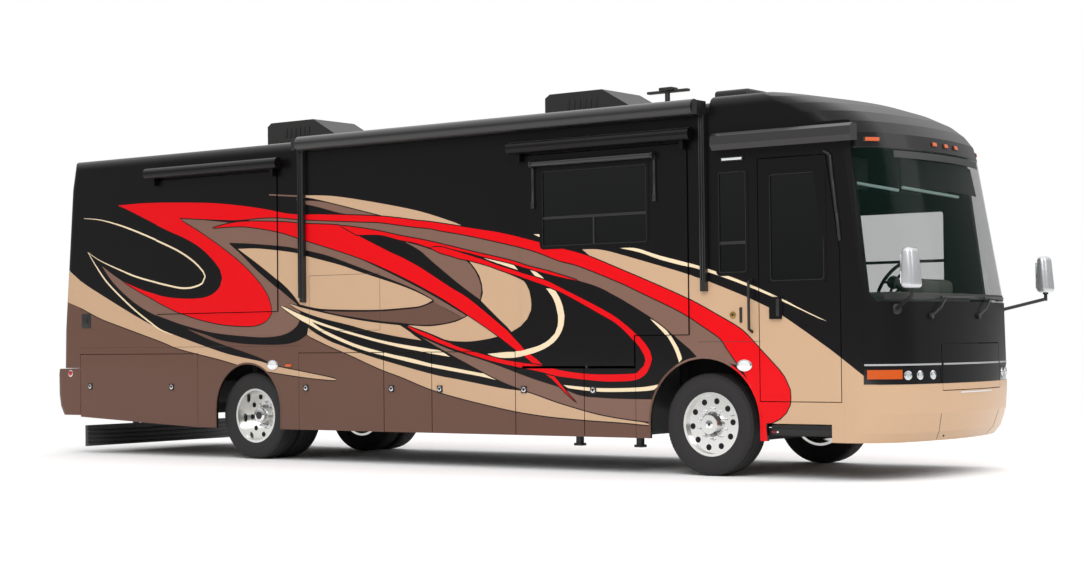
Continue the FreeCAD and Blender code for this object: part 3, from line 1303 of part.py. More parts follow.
def make_cab():
    rear = "front_axle + dash_rear_ahead"
    outline = [(rear + " + 150", "floor_high"), (rear + " + dash_long", "floor_high"),
               (rear + " + dash_long", "dash_high - 60"), (rear + " + dash_long - 60", "dash_high"),
               (rear + " + 60", "dash_high"), (rear, "dash_high - 60"), (rear, "dash_high - 220")]
    desk = plate("dash_body", "XZ_Plane", "-dash_half + 260", "dash_half", outline)
    doc.recompute()
    keep("dashboard", desk)
    tilt = Rotation(Vector(0, 1, 0), STEERING_TILT)
    centre = Vector(at("front_axle") + at("steering_ahead"), at("seat_out"), at("steering_high"))
    normal = tilt.multVec(Vector(0, 0, 1))
    out, thick = at("steering_radius"), at("steering_rim")
    rim = Part.makeTorus(out, thick, centre, normal)
    column = rod(centre, centre - normal * at("column_long"), at("column_radius"))
    spokes = []
    for angle in (30, 150, 270):
        along = Rotation(Vector(0, 0, 1), angle).multVec(Vector(out, 0, 0))
        spokes.append(rod(centre, centre + tilt.multVec(along), thick * 0.8))
    whole = rim.multiFuse(spokes + [column, Part.makeSphere(at("horn_radius"), centre)])
    keep("steering_wheel", feature("steering_wheel", solid_of(whole.cut(desk.Shape))))
    seats = []
    for side in SIDES:
        start = "front_axle + seat_rear"
        outer, inner = "seat_out + seat_wide / 2", "seat_out - seat_wide / 2"
        foot = side_box("seat_foot_" + side, side, (start + " + 140", start + " + seat_long - 80"),
                        outer + " - 90", inner + " + 90", ("floor_high", "seat_high - 150"))
        cushion = side_box("seat_pad_" + side, side, (start + " + 60", start + " + 60 + seat_long"),
                           outer, inner, ("seat_high - 151", "seat_high"))
        back = side_box("seat_back_" + side, side, (start, start + " + 130"), outer, inner,
                        ("seat_high - 151", "seat_back_high"))
        seats.append(fuse("seat_" + side, [foot, cushion, back]))
    keep("cab_seats", group("cab_seats", seats))


def make_grab_rail():
    x_place = at("front_axle") + at("grab_ahead")
    wall = -at("half_width")
    out = wall - at("grab_out")
    low, high = at("grab_low"), at("grab_high")
    points = [Vector(x_place, wall, low), Vector(x_place, out, low + 25), Vector(x_place, out, high - 25),
              Vector(x_place, wall, high)]
    rail = rod_chain(points, at("grab_radius"))
    inside = block((x_place - REACH, x_place + REACH), (wall, 0), (low - REACH, high + REACH))
    keep("grab_rail", feature("grab_rail", solid_of(rail.cut(inside))))


make_chassis()
make_floor()
make_walls()
make_roof()
make_front()
make_rear()
make_skirts()
make_bays()
for door_name, door_seams in RIGHT_DOORS.items():
    bay_door(door_name, "right", *door_seams)
for door_name, door_seams in LEFT_DOORS.items():
    bay_door(door_name, "left", *door_seams)
for door_side in SIDES:
    make_tail_door(door_side)
make_entry()
make_slides()
make_engine()
make_guard()
make_axles()
for knuckle_side in SIDES:
    make_knuckle(knuckle_side)
make_wheels()
make_awnings()
make_roof_units()
make_mirrors()
make_wipers()
make_cab()
make_grab_rail()
doc.recompute()

for item in doc.Objects:
    if "Invalid" in item.State or "Error" in item.State:
        raise RuntimeError(item.Name + " did not recompute: " + ", ".join(item.State))

os.makedirs("parts", exist_ok=True)
for piece_name, piece in pieces.items():
    shape = piece.Shape
    if shape.isNull() or not shape.isValid() or not shape.Solids:
        raise RuntimeError(piece_name + " has no valid solid")
    shape.exportStep("parts/" + piece_name + ".step")
    bounds = shape.BoundBox
    ends = (bounds.XMin, bounds.XMax, bounds.YMin, bounds.YMax, bounds.ZMin, bounds.ZMax)
    print(piece_name, len(shape.Solids), "solids", round(shape.Volume / 1e6, 3), "litres",
          [round(value, 1) for value in ends])
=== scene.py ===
import json
import math

import bpy
import numpy as np
from mathutils import Matrix, Vector
from mathutils.geometry import delaunay_2d_cdt

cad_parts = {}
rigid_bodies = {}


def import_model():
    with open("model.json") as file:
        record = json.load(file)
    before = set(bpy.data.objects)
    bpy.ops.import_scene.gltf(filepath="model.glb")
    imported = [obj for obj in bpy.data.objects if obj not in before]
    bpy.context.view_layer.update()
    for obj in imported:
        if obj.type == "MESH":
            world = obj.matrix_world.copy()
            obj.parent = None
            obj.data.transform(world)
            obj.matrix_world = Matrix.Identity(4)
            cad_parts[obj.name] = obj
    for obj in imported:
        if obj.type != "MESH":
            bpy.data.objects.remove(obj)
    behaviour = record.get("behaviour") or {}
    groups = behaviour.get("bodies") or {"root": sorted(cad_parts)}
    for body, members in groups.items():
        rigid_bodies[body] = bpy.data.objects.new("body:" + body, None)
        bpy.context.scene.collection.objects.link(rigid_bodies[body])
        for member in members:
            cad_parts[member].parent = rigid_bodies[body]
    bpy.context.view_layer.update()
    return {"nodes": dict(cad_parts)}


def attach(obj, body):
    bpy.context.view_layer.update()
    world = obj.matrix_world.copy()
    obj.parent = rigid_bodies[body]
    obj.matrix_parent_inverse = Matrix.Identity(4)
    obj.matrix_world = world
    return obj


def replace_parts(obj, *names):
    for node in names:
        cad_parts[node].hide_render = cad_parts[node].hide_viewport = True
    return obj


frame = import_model()
NODES = frame["nodes"]

# Sizes in metres: outer faces of the walls and the slide-out rooms, how far a paint skin stands out and how
# thick it is, the axles, and the x of the upright lines that bearings at the nose and the tail are taken from
SIDES = (("right", -1), ("left", 1))
WALL = 1.275
SLIDE_FACE = 1.287
SKIN = 0.0008
SKIN_DEPTH = 0.6 * SKIN
FRONT_AXLE = 3.500
REAR_AXLE = -2.480
TYRE_RADIUS = 0.483
NOSE_HUB = 4.9
TAIL_HUB = -4.4


# Materials


def linear(code):
    """Scene-linear RGBA of an sRGB hex colour."""
    values = [int(code[i:i + 2], 16) / 255 for i in (1, 3, 5)]
    return tuple(v / 12.92 if v <= 0.04045 else ((v + 0.055) / 1.055) ** 2.4 for v in values) + (1.0,)


def node(tree, kind, *sources, **values):
    """Adds a shader node: sources feed its inputs in order, a value goes to the input or setting it names."""
    made = tree.nodes.new(kind)
    for name, value in values.items():
        socket = made.inputs.get(name.replace("_", " "))
        if socket is None:
            setattr(made, name, value)
        elif isinstance(value, bpy.types.NodeSocket):
            tree.links.new(value, socket)
        else:
            socket.default_value = value
    for source, socket in zip(sources, made.inputs):
        tree.links.new(source, socket)
    return made


def surface(name, colour, roughness, metallic=0.0, coat=0.0, grain=0.0, size=25.0, bump=0.0, **extra):
    """A material with a noise in its colour and relief; size is in mm and bump, its depth, in m."""
    material = bpy.data.materials.new(name)
    material.use_nodes = True
    tree = material.node_tree
    shader = tree.nodes["Principled BSDF"]
    fixed = {"Base_Color": linear(colour), "Roughness": roughness, "Metallic": metallic, "Coat_Weight": coat,
             "Coat_Roughness": 0.06}
    for socket, value in {**fixed, **extra}.items():
        shader.inputs[socket.replace("_", " ")].default_value = value
    if grain or bump:
        place = node(tree, "ShaderNodeTexCoord")
        noise = node(tree, "ShaderNodeTexNoise", Vector=place.outputs["Object"], Scale=1000 / size,
                     Detail=4.0)
    if grain:
        dark, light = (tuple(min(1, c * (1 + change)) for c in linear(colour)[:3]) + (1.0,)
                       for change in (-grain, grain))
        shade = node(tree, "ShaderNodeMix", data_type="RGBA", Factor=noise.outputs["Fac"], A=dark, B=light)
        tree.links.new(shade.outputs["Result"], shader.inputs["Base Color"])
    if bump:
        relief = node(tree, "ShaderNodeBump", Strength=1.0, Distance=bump, Height=noise.outputs["Fac"])
        tree.links.new(relief.outputs["Normal"], shader.inputs["Normal"])
    return material


PAINT_CODES = {
    "black": "#0d0b0d",
    "red": "#dc000c",
    "tan": "#c3a283",
    "cream": "#e8d4b2",
    "brown": "#664a3f",
    "taupe": "#7a5d51",
}


def paint(colour):
    """Two-pack polyurethane coach paint under lacquer: even and smooth, with a faint wave in its gloss."""
    return surface("polyurethane_paint_" + colour, PAINT_CODES[colour], 0.32, coat=0.12, grain=0.02,
                   size=333, bump=0.00004, Specular_IOR_Level=0.15)


PAINTS = {colour: paint(colour) for colour in PAINT_CODES}


def cap_paint(name, lines):
    """Coach paint of a moulded cap: a line is (height at start, slope, start x, end x, colour below it)."""
    material = paint("black")
    material.name = name
    tree = material.node_tree
    shader = tree.nodes["Principled BSDF"]
    place = node(tree, "ShaderNodeTexCoord")
    split = node(tree, "ShaderNodeSeparateXYZ", place.outputs["Object"])
    shade = shader.inputs["Base Color"].links[0].from_socket
    for height, slope, start, end, colour in lines:
        along = node(tree, "ShaderNodeMapRange", Value=split.outputs["X"], From_Min=start, From_Max=end,
                     To_Min=height, To_Max=height + slope * (end - start))
        under = node(tree, "ShaderNodeMath", split.outputs["Z"], along.outputs["Result"],
                     operation="LESS_THAN")
        mixed = node(tree, "ShaderNodeMix", data_type="RGBA", Factor=under.outputs["Value"], A=shade,
                     B=linear(PAINT_CODES[colour]))
        shade = mixed.outputs["Result"]
    tree.links.new(shade, shader.inputs["Base Color"])
    return material


# Cap paint lines, carried on from the stripes of the sides
NOSE_PAINT = cap_paint("polyurethane_paint_nose", ((1.084, -0.73, 4.970, 5.272, "tan"),))
TAIL_PAINT = cap_paint("polyurethane_paint_tail", (
    (2.262, -0.64, -5.594, -5.294, "tan"),
    (1.836, -0.30, -5.594, -5.294, "brown"),
))

# White gelcoat out of a mould: soft gloss over faint, wide waves
GELCOAT = surface("roof_gelcoat_white", "#cdcbc4", 0.42, grain=0.03, size=167, bump=0.0004)
# Enamel brushed on rolled steel: dull black with dusty patches
FRAME_PAINT = surface("chassis_enamel_black", "#2a2a2b", 0.5, grain=0.10, size=83, bump=0.0003)
# Painted cast steel: the sand of the mould still shows
CAST_STEEL = surface("cast_steel_painted", "#3a3a3b", 0.6, metallic=0.4, grain=0.12, size=33, bump=0.0006)
# Forged aluminium, polished: bright and a little clouded
ALUMINIUM = surface("forged_aluminium_polished", "#d9d9d6", 0.16, metallic=1.0, grain=0.03, size=40)
# Chrome on polished steel: an even mirror
CHROME = surface("chrome_plated_steel", "#e2e2e4", 0.07, metallic=1.0)
# Moulded tyre rubber: matt, greyed by dust
TYRE = surface("tyre_rubber", "#222022", 0.78, grain=0.08, size=17, bump=0.0003)
# Bellows rubber: matt black
SPRING_RUBBER = surface("air_spring_rubber", "#191919", 0.85, grain=0.08)
# Glass toned in the mass: nearly black with a sharp gloss
TINTED = surface("privacy_glass_tinted", "#070809", 0.05, coat=0.25, IOR=1.45)
# Laminated glass with a green tint: the cab shows through it darkly
CAB_GLASS = surface("laminated_glass_green_tint", "#0f231d", 0.02, Alpha=0.26, Specular_IOR_Level=0.12)
# Tempered glass without a tint: hardly seen
CLEAR_GLASS = surface("clear_tempered_glass", "#20302d", 0.02, Alpha=0.13, Specular_IOR_Level=0.3)
# Moulded ABS with a fine texture: half matt black
BLACK_PLASTIC = surface("moulded_abs_black", "#161616", 0.45, grain=0.06, size=12.5, bump=0.0001)
# Extruded EPDM: matt black
RUBBER = surface("epdm_rubber_seal", "#121212", 0.7, grain=0.05, size=11)
# Galvanised sheet: cloudy zinc flowers
BAY_SHEET = surface("galvanised_sheet_steel", "#6d7072", 0.5, metallic=0.7, grain=0.14, size=45)
# Birch plywood: pale brown with a broad figure
FLOOR_BOARD = surface("birch_plywood_floor", "#8a6f4e", 0.6, grain=0.12, size=111)
# Embossed vinyl: warm beige with a leather relief, drawn coarse enough to show
SEAT_COVER = surface("vinyl_upholstery_beige", "#a08a70", 0.55, grain=0.07, size=14, bump=0.0006)
# Slush-moulded skin: matt grey with a fine relief, drawn coarse enough to show
DASH_COVER = surface("soft_touch_dash_skin", "#6a6e66", 0.6, grain=0.08, size=8.3, bump=0.0003)
# Acrylic moulded with small prisms: the colour is lively
LAMP_RED = surface("acrylic_lens_red", "#b30d12", 0.12, coat=0.5, grain=0.05, size=11)
LAMP_AMBER = surface("acrylic_lens_amber", "#c4500a", 0.14, coat=0.5, grain=0.05, size=11)
# Moulded polycarbonate: clear as water
CLEAR_LENS = surface("polycarbonate_lens_clear", "#e9edef", 0.03, Transmission_Weight=0.95, IOR=1.4)
# Smoked polycarbonate: glossy and nearly black
HEADLAMP_BLACK = surface("polycarbonate_cover_smoked", "#0e0e10", 0.06, coat=0.6)
# Frosted reflector behind a lens: white with a soft sheen
LAMP_GLOW = surface("lamp_reflector_frosted", "#eef1f2", 0.15, metallic=0.3, coat=0.5, grain=0.03, size=6.3)
# Metallic lacquer on a moulded shell: silver
MIRROR_SILVER = surface("lacquered_shell_silver", "#c4c6c8", 0.3, metallic=0.7, coat=0.4, grain=0.02, size=33)
# Silvered glass: a clean mirror
MIRROR_GLASS = surface("silvered_glass", "#e6e8ea", 0.02, metallic=1.0)
# Turned brass: dull gold
BRASS = surface("brass_lock_cylinder", "#9c8048", 0.3, metallic=0.9, grain=0.05, size=17)
# Sealant in a joint: a thin dark line
JOINT = surface("panel_joint_sealant", "#2a211d", 0.6, grain=0.05, size=12.5)
# Cast iron: rough and almost black
DARK_IRON = surface("cast_iron_brake_drum", "#171615", 0.7, metallic=0.2, grain=0.12)
# A recess that no light reaches
HOLE_SHADE = surface("unlit_recess_black", "#060606", 0.9)
# Extruded acrylic: pale green and satin
VISOR_ROD = surface("extruded_acrylic_visor", "#b9d8d0", 0.25, grain=0.02, size=33)
# Woven roller cloth: matt black. The same near-black on the liners in the wheel arches is painted shade of
# the wells
ROLLER_CLOTH_AND_WELL_SHADE = surface("roller_cloth_and_painted_well_shade", "#0a0b0c", 0.85, grain=0.08, size=8.3)
# Anodised aluminium, ribbed: satin grey
GUARD = surface("ribbed_guard_grey", "#4b4c4e", 0.42, metallic=0.5, grain=0.06)
# Pressed plate carrier: plain dark grey
PLATE_PANEL = surface("blank_plate_panel", "#1c1c1d", 0.4, grain=0.03, size=17)
# Powder-coated aluminium: black with a low gloss
AWNING_BLACK = surface("powder_coated_aluminium_black", "#1a1919", 0.32, coat=0.3, grain=0.04, size=33)

DOORS = [f"left_bay_door_{i}" for i in range(1, 4)] + ["left_tail_door"]
DOORS += [f"right_bay_door_{i}" for i in range(1, 6)] + ["right_tail_door"]
CAD_MATERIALS = {
    FRAME_PAINT: ("chassis_frame", "engine_block"),
    CAST_STEEL: ("front_axle_beam", "rear_axle_housing", "right_knuckle", "left_knuckle"),
    SPRING_RUBBER: ("air_springs",),
    ALUMINIUM: ("front_right_rim", "front_left_rim", "rear_right_rims", "rear_left_rims"),
    TYRE: ("front_right_tyre", "front_left_tyre", "rear_right_tyres", "rear_left_tyres"),
    FLOOR_BOARD: ("floor",),
    PAINTS["black"]: ["right_wall", "left_wall", "skirt_panels", "entry_door", "right_front_slide",
                      "right_rear_slide", "left_slide"] + DOORS,
    NOSE_PAINT: ("front_cap", "front_hood", "front_bumper"),
    TAIL_PAINT: ("rear_cap", "engine_door", "rear_bumper"),
    GELCOAT: ("roof",),
    TINTED: ("side_glass", "entry_door_glass", "right_slide_glass", "left_slide_glass"),
    CAB_GLASS: ("windshield",),
    HEADLAMP_BLACK: ("headlamps",),
    LAMP_RED: ("tail_lamps",),
    BAY_SHEET: ("bay_boxes",),
    GUARD: ("rear_guard",),
    AWNING_BLACK: ("awnings",),
    BLACK_PLASTIC: ("wipers", "steering_wheel", "roof_air_units", "grab_rail", "entry_step"),
    MIRROR_SILVER: ("mirrors",),
    DASH_COVER: ("dashboard",),
    SEAT_COVER: ("cab_seats",),
}
for material, names in CAD_MATERIALS.items():
    for name in names:
        NODES[name].data.materials.clear()
        NODES[name].data.materials.append(material)

# Stripes of the sides as (x, z) points in metres, in painting order; a third value marks a corner
STRIPES = (
    ("brown_field", "brown", 0, (
        (-6.033, 2.194, 1), (-5.661, 2.026), (-4.937, 1.733), (-4.239, 1.521), (-3.565, 1.317),
        (-2.915, 1.153), (-2.441, 1.062), (-2.055, 1.039, 1), (-2.316, 1.140), (-2.913, 1.294),
        (-3.155, 1.364), (-3.448, 1.465, 1), (-3.154, 1.399), (-2.913, 1.334), (-2.596, 1.292),
        (-2.252, 1.275), (-1.946, 1.275), (-1.794, 1.291), (-1.673, 1.323), (-1.583, 1.371, 1),
        (-1.524, 1.357), (-1.230, 1.250), (-0.942, 1.155), (-0.517, 1.007), (-0.240, 0.928),
        (0.302, 0.765), (1.084, 0.614), (1.585, 0.547), (2.073, 0.512), (2.546, 0.491), (2.915, 0.468, 1),
        (3.117, 0.334, 1), (3.108, -0.232, 1), (-6.052, -0.592, 1),
    )),
    ("front_field", "tan", 1, (
        (2.132, 2.173, 1), (2.252, 2.172), (2.371, 2.159), (2.570, 2.112), (3.253, 1.924), (3.430, 1.865),
        (3.539, 1.832), (3.906, 1.696), (4.118, 1.607), (4.336, 1.499), (4.832, 1.181), (5.128, 0.966),
        (5.235, 0.896, 1), (5.563, 0.874, 1), (5.549, 0.037, 1), (4.060, -0.012, 1), (4.065, 0.308, 1),
        (4.022, 0.904), (3.951, 1.180), (3.686, 1.414), (3.249, 1.655), (2.798, 1.847), (2.333, 2.044),
    )),
    ("rear_band", "tan", 1, (
        (-6.031, 2.489, 1), (-5.540, 2.228), (-5.294, 2.070), (-4.936, 1.900), (-4.255, 1.603),
        (-3.899, 1.470), (-3.565, 1.374), (-2.914, 1.203), (-2.597, 1.141), (-2.285, 1.092),
        (-2.055, 1.039), (-1.677, 0.982), (-1.234, 0.915), (-1.132, 0.893, 1), (-1.234, 0.888),
        (-1.678, 0.923), (-2.286, 0.995), (-2.598, 1.046), (-2.915, 1.114), (-3.566, 1.236),
        (-3.900, 1.331), (-4.586, 1.514), (-4.938, 1.612), (-5.297, 1.746), (-5.563, 1.825),
        (-6.034, 1.974, 1),
    )),
    ("taupe_swoosh", "taupe", 1, (
        (-3.552, 2.743, 1), (-2.582, 2.631), (-1.963, 2.509), (-1.661, 2.448), (-1.365, 2.365),
        (-0.787, 2.178), (0.045, 1.843), (0.669, 1.546, 1), (0.616, 1.532, 1), (0.313, 1.661),
        (0.044, 1.786), (-0.228, 1.891), (-0.788, 2.076), (-1.366, 2.230), (-1.663, 2.300),
        (-1.965, 2.350), (-2.537, 2.410), (-2.743, 2.424, 1), (-2.275, 2.117), (-2.045, 1.977),
        (-1.729, 1.728, 1), (-1.670, 1.639), (-1.663, 1.563), (-1.702, 1.492), (-1.793, 1.428),
        (-1.914, 1.385), (-2.097, 1.362), (-2.360, 1.362), (-2.992, 1.414), (-3.481, 1.505),
        (-3.813, 1.591), (-4.067, 1.664), (-4.323, 1.780), (-4.582, 1.939), (-4.757, 2.080),
        (-4.898, 2.232, 1), (-4.721, 2.132), (-4.512, 2.026, 1), (-4.065, 1.857), (-3.561, 1.730),
        (-2.990, 1.674), (-2.591, 1.779), (-2.666, 2.117), (-2.983, 2.353), (-3.388, 2.597),
    )),
    ("leaf_edge", "black", 0, (
        (-2.743, 2.415, 1), (-2.506, 2.411), (-1.965, 2.361), (-1.738, 2.328), (-1.366, 2.257),
        (-1.074, 2.177), (-0.228, 1.907), (0.045, 1.806), (0.226, 1.724, 1), (0.233, 1.704),
        (0.043, 1.647), (-0.232, 1.629), (-0.510, 1.616), (-1.226, 1.631), (-1.595, 1.676),
        (-1.699, 1.705, 1), (-2.122, 1.974), (-2.352, 2.130), (-2.554, 2.287),
    )),
    ("tan_leaf", "tan", 0, (
        (-2.604, 2.351, 1), (-2.272, 2.343), (-1.738, 2.278), (-1.613, 2.246), (-1.075, 2.123),
        (-0.788, 2.039), (-0.228, 1.883), (0.045, 1.790), (0.213, 1.717, 1), (0.152, 1.690),
        (0.043, 1.661), (-0.094, 1.650), (-0.510, 1.633), (-0.936, 1.639), (-1.373, 1.659),
        (-1.669, 1.710, 1), (-1.848, 1.884), (-2.197, 2.114),
    )),
    ("crescent", "brown", 0, (
        (-1.343, 1.633, 1), (-0.936, 1.618), (-0.510, 1.615), (-0.232, 1.626), (0.043, 1.645),
        (0.233, 1.700, 1), (0.445, 1.598), (0.616, 1.532, 1), (0.510, 1.503), (0.377, 1.479),
        (0.176, 1.464), (-0.028, 1.469), (-0.233, 1.490), (-0.511, 1.513), (-1.009, 1.577),
    )),
    ("stripe_a", "tan", 1, (
        (-1.835, 1.721, 1), (-1.744, 1.702), (-1.670, 1.680), (-1.081, 1.569), (-0.652, 1.506),
        (-0.234, 1.464, 1), (-0.097, 1.392), (-0.029, 1.349), (0.059, 1.304, 1), (-0.235, 1.341),
        (-0.653, 1.411), (-0.938, 1.474), (-1.374, 1.562), (-1.670, 1.646),
    )),
    ("fork", "cream", 1, (
        (-1.962, 1.701, 1), (-1.896, 1.684), (-1.745, 1.627), (-1.522, 1.555), (-1.228, 1.473),
        (-0.796, 1.372), (-0.374, 1.288), (0.173, 1.213), (0.307, 1.195), (0.439, 1.131, 1),
        (0.172, 1.167), (0.037, 1.191), (-0.236, 1.232), (-0.655, 1.313), (-1.228, 1.446),
        (-1.492, 1.519, 1), (-1.375, 1.450), (-1.084, 1.343), (-0.797, 1.255), (-0.376, 1.165),
        (-0.100, 1.119), (0.171, 1.063), (0.305, 1.044), (0.831, 0.965), (0.960, 0.947), (1.062, 0.890, 1),
        (0.830, 0.932), (0.171, 1.029), (-0.376, 1.130), (-0.798, 1.219), (-1.229, 1.357), (-1.523, 1.484),
        (-1.671, 1.544), (-1.896, 1.658),
    )),
    ("low_stripe", "tan", 1, (
        (-1.548, 1.454, 1), (-1.449, 1.397), (-1.230, 1.306), (-1.085, 1.263), (-0.657, 1.141),
        (0.170, 0.958), (0.569, 0.895), (1.086, 0.815), (1.339, 0.789), (1.464, 0.767), (1.711, 0.697),
        (2.312, 0.562), (2.778, 0.504), (2.915, 0.468, 1), (2.546, 0.491), (2.073, 0.512), (1.585, 0.547),
        (1.084, 0.614), (0.302, 0.765), (-0.240, 0.928), (-0.517, 1.007), (-0.942, 1.155), (-1.230, 1.250),
        (-1.524, 1.357), (-1.565, 1.378, 1),
    )),
    ("taupe_tail", "taupe", 1, (
        (0.053, 1.338, 1), (0.440, 1.206), (0.961, 1.070), (1.466, 0.918), (1.835, 0.822), (2.076, 0.746),
        (2.314, 0.726), (2.549, 0.718), (2.953, 0.715, 1), (2.949, 0.501, 1), (2.778, 0.510),
        (2.312, 0.567), (1.833, 0.673), (1.588, 0.742), (1.339, 0.809), (1.087, 0.888), (0.702, 1.046),
        (0.307, 1.219),
    )),
    ("tan_spear", "tan", 1, (
        (-0.123, 1.463, 1), (0.176, 1.448), (0.444, 1.475), (0.576, 1.506), (0.678, 1.547, 1),
        (0.966, 1.389), (1.058, 1.332, 1), (0.965, 1.314), (0.705, 1.287), (0.441, 1.296),
        (0.322, 1.325, 1), (0.175, 1.376),
    )),
    ("taupe_leaf", "taupe", 1, (
        (-0.195, 2.354, 1), (-0.086, 2.319), (0.051, 2.286), (0.452, 2.167), (0.650, 2.120, 1),
        (0.715, 2.076), (0.775, 2.009), (0.830, 1.920), (0.855, 1.848), (0.859, 1.797), (0.841, 1.711, 1),
        (0.581, 1.869), (0.184, 2.140), (0.050, 2.238),
    )),
    ("tan_drop", "tan", 1, (
        (0.693, 2.118, 1), (0.974, 2.036), (1.229, 1.952), (1.410, 1.884, 1), (1.441, 1.850),
        (1.478, 1.786), (1.498, 1.700), (1.497, 1.593), (1.449, 1.506), (1.382, 1.448), (1.240, 1.379, 1),
        (1.180, 1.435), (1.095, 1.500), (0.853, 1.699, 1), (0.880, 1.776), (0.869, 1.868), (0.837, 1.953),
        (0.789, 2.020),
    )),
    ("cream_loop", "cream", 1, (
        (0.930, 1.159, 1), (1.269, 1.183), (1.345, 1.185), (1.595, 1.239), (1.719, 1.298), (1.790, 1.355),
        (1.824, 1.429), (1.830, 1.530), (1.808, 1.623), (1.764, 1.716), (1.686, 1.804, 1),
        (1.787, 1.795, 1), (1.847, 1.715), (1.889, 1.621), (1.909, 1.529), (1.897, 1.438), (1.851, 1.344),
        (1.769, 1.264), (1.656, 1.205), (1.514, 1.161), (1.344, 1.128), (1.217, 1.116), (1.090, 1.119),
        (1.001, 1.135),
    )),
    ("sliver_one", "cream", 1, (
        (0.872, 2.142, 1), (1.230, 2.065), (1.280, 2.048, 1), (1.330, 1.996, 1), (0.975, 2.103),
    )),
    ("sliver_two", "cream", 1, (
        (1.481, 2.002, 1), (1.575, 1.964), (1.641, 1.920), (1.682, 1.880, 1), (1.600, 1.889),
    )),
    ("sliver_three", "cream", 1, (
        (1.540, 2.346, 1), (1.647, 2.337), (1.671, 2.311, 1), (1.653, 2.299, 1),
    )),
    ("cream_foot", "cream", 1, (
        (1.878, 0.848, 1), (2.316, 0.820), (2.783, 0.830), (3.012, 0.861, 1), (2.943, 0.807, 1),
        (2.782, 0.792), (2.315, 0.785), (1.932, 0.819),
    )),
    ("cream_arc", "cream", 1, (
        (2.918, 1.481, 1), (3.009, 1.447), (3.098, 1.374), (3.223, 1.203), (3.263, 1.099, 1),
        (3.231, 1.066, 1), (3.191, 1.170), (3.136, 1.265), (3.070, 1.346),
    )),
    ("roof_taupe", "taupe", 0, (
        (-1.717, 2.866, 1), (-1.612, 2.845), (-1.360, 2.821), (-1.068, 2.760), (-0.526, 2.629, 1),
        (-0.996, 2.670), (-1.390, 2.763), (-1.613, 2.812),
    )),
    ("roof_tan", "tan", 1, (
        (-1.606, 2.901, 1), (-1.067, 2.856), (-0.081, 2.677), (0.457, 2.529), (0.602, 2.477, 1),
        (0.456, 2.481), (0.054, 2.545), (-0.414, 2.612), (-0.498, 2.634), (-1.360, 2.837),
        (-1.606, 2.879, 1),
    )),
    ("roof_line", "taupe", 0, (
        (-2.112, 2.940, 1), (-1.612, 2.898, 1), (-1.612, 2.882, 1), (-2.112, 2.925, 1),
    )),
    ("top_line", "cream", 1, (
        (2.582, 2.169, 1), (2.699, 2.169), (2.802, 2.153), (3.030, 2.083), (3.476, 1.967), (3.908, 1.823),
        (4.328, 1.653), (4.533, 1.554), (4.806, 1.432, 1), (4.736, 1.455), (4.328, 1.631), (3.908, 1.795),
        (3.475, 1.937), (3.254, 1.988), (3.029, 2.047), (2.802, 2.121),
    )),
    ("taupe_band", "taupe", 1, (
        (-2.425, 2.679, 1), (-1.659, 2.666), (-0.220, 2.547), (1.106, 2.326), (1.853, 2.129),
        (2.333, 1.995), (2.797, 1.818), (3.248, 1.627), (3.577, 1.443), (3.844, 1.180), (3.917, 1.032, 1),
        (3.429, 1.117, 1), (3.353, 1.190), (3.243, 1.270), (3.020, 1.440), (2.679, 1.631), (2.447, 1.745),
        (2.330, 1.797), (2.080, 1.870), (1.103, 2.114), (0.586, 2.227), (-0.222, 2.400), (-0.783, 2.503),
        (-1.363, 2.571), (-1.660, 2.594), (-1.962, 2.625), (-2.425, 2.657, 1),
    )),
    ("red_swoosh", "red", 1, (
        (-4.609, 2.939, 1), (-4.055, 2.941), (-3.221, 2.901), (-2.818, 2.867), (-2.423, 2.816),
        (-2.114, 2.765), (-1.885, 2.719), (-1.614, 2.689), (-1.361, 2.681), (-0.498, 2.619),
        (0.054, 2.545), (0.189, 2.530), (0.850, 2.423), (1.107, 2.380), (1.485, 2.294), (1.854, 2.198),
        (2.096, 2.138), (2.334, 2.057), (3.249, 1.701), (3.687, 1.491), (3.901, 1.376), (4.006, 1.290),
        (4.111, 1.185), (4.317, 0.984), (4.378, 0.898), (4.418, 0.814), (4.416, 0.681), (4.374, 0.608),
        (4.310, 0.553), (4.226, 0.515), (4.163, 0.507, 1), (4.181, 0.302, 1), (4.062, 0.299, 1),
        (4.039, 0.693), (3.986, 0.876), (3.945, 0.959), (3.903, 1.020), (3.843, 1.088), (3.748, 1.209),
        (3.684, 1.293), (3.467, 1.426), (3.247, 1.552), (2.796, 1.746), (2.566, 1.843), (2.094, 2.013),
        (1.852, 2.074), (1.608, 2.159), (1.359, 2.227), (0.719, 2.365), (0.322, 2.436), (0.188, 2.464),
        (-0.083, 2.496), (-0.499, 2.557), (-0.782, 2.577), (-1.614, 2.638), (-1.961, 2.675),
        (-2.269, 2.684), (-2.582, 2.675), (-2.900, 2.692), (-3.552, 2.743, 1), (-3.486, 2.694),
        (-3.225, 2.568), (-2.903, 2.396), (-2.586, 2.205), (-2.353, 2.030), (-2.200, 1.881),
        (-2.124, 1.769), (-2.094, 1.680), (-2.102, 1.625), (-2.188, 1.538), (-2.359, 1.490),
        (-2.594, 1.488), (-2.911, 1.514), (-3.234, 1.570), (-3.480, 1.631), (-3.728, 1.710),
        (-4.236, 1.907), (-4.512, 2.032, 1), (-4.235, 1.942), (-3.980, 1.878), (-3.727, 1.832),
        (-3.395, 1.810), (-3.150, 1.819), (-2.988, 1.866), (-2.891, 1.943), (-2.858, 2.033),
        (-2.889, 2.124), (-3.033, 2.264), (-3.226, 2.397), (-3.472, 2.509), (-3.804, 2.627),
        (-4.400, 2.864),
    )),
    ("red_wedge", "red", 1, (
        (-3.013, 2.604, 1), (-2.582, 2.653), (-1.962, 2.625), (-1.660, 2.595), (-1.363, 2.573),
        (-1.070, 2.546), (-0.898, 2.481), (-0.827, 2.435, 1), (-0.363, 2.237), (-0.225, 2.185),
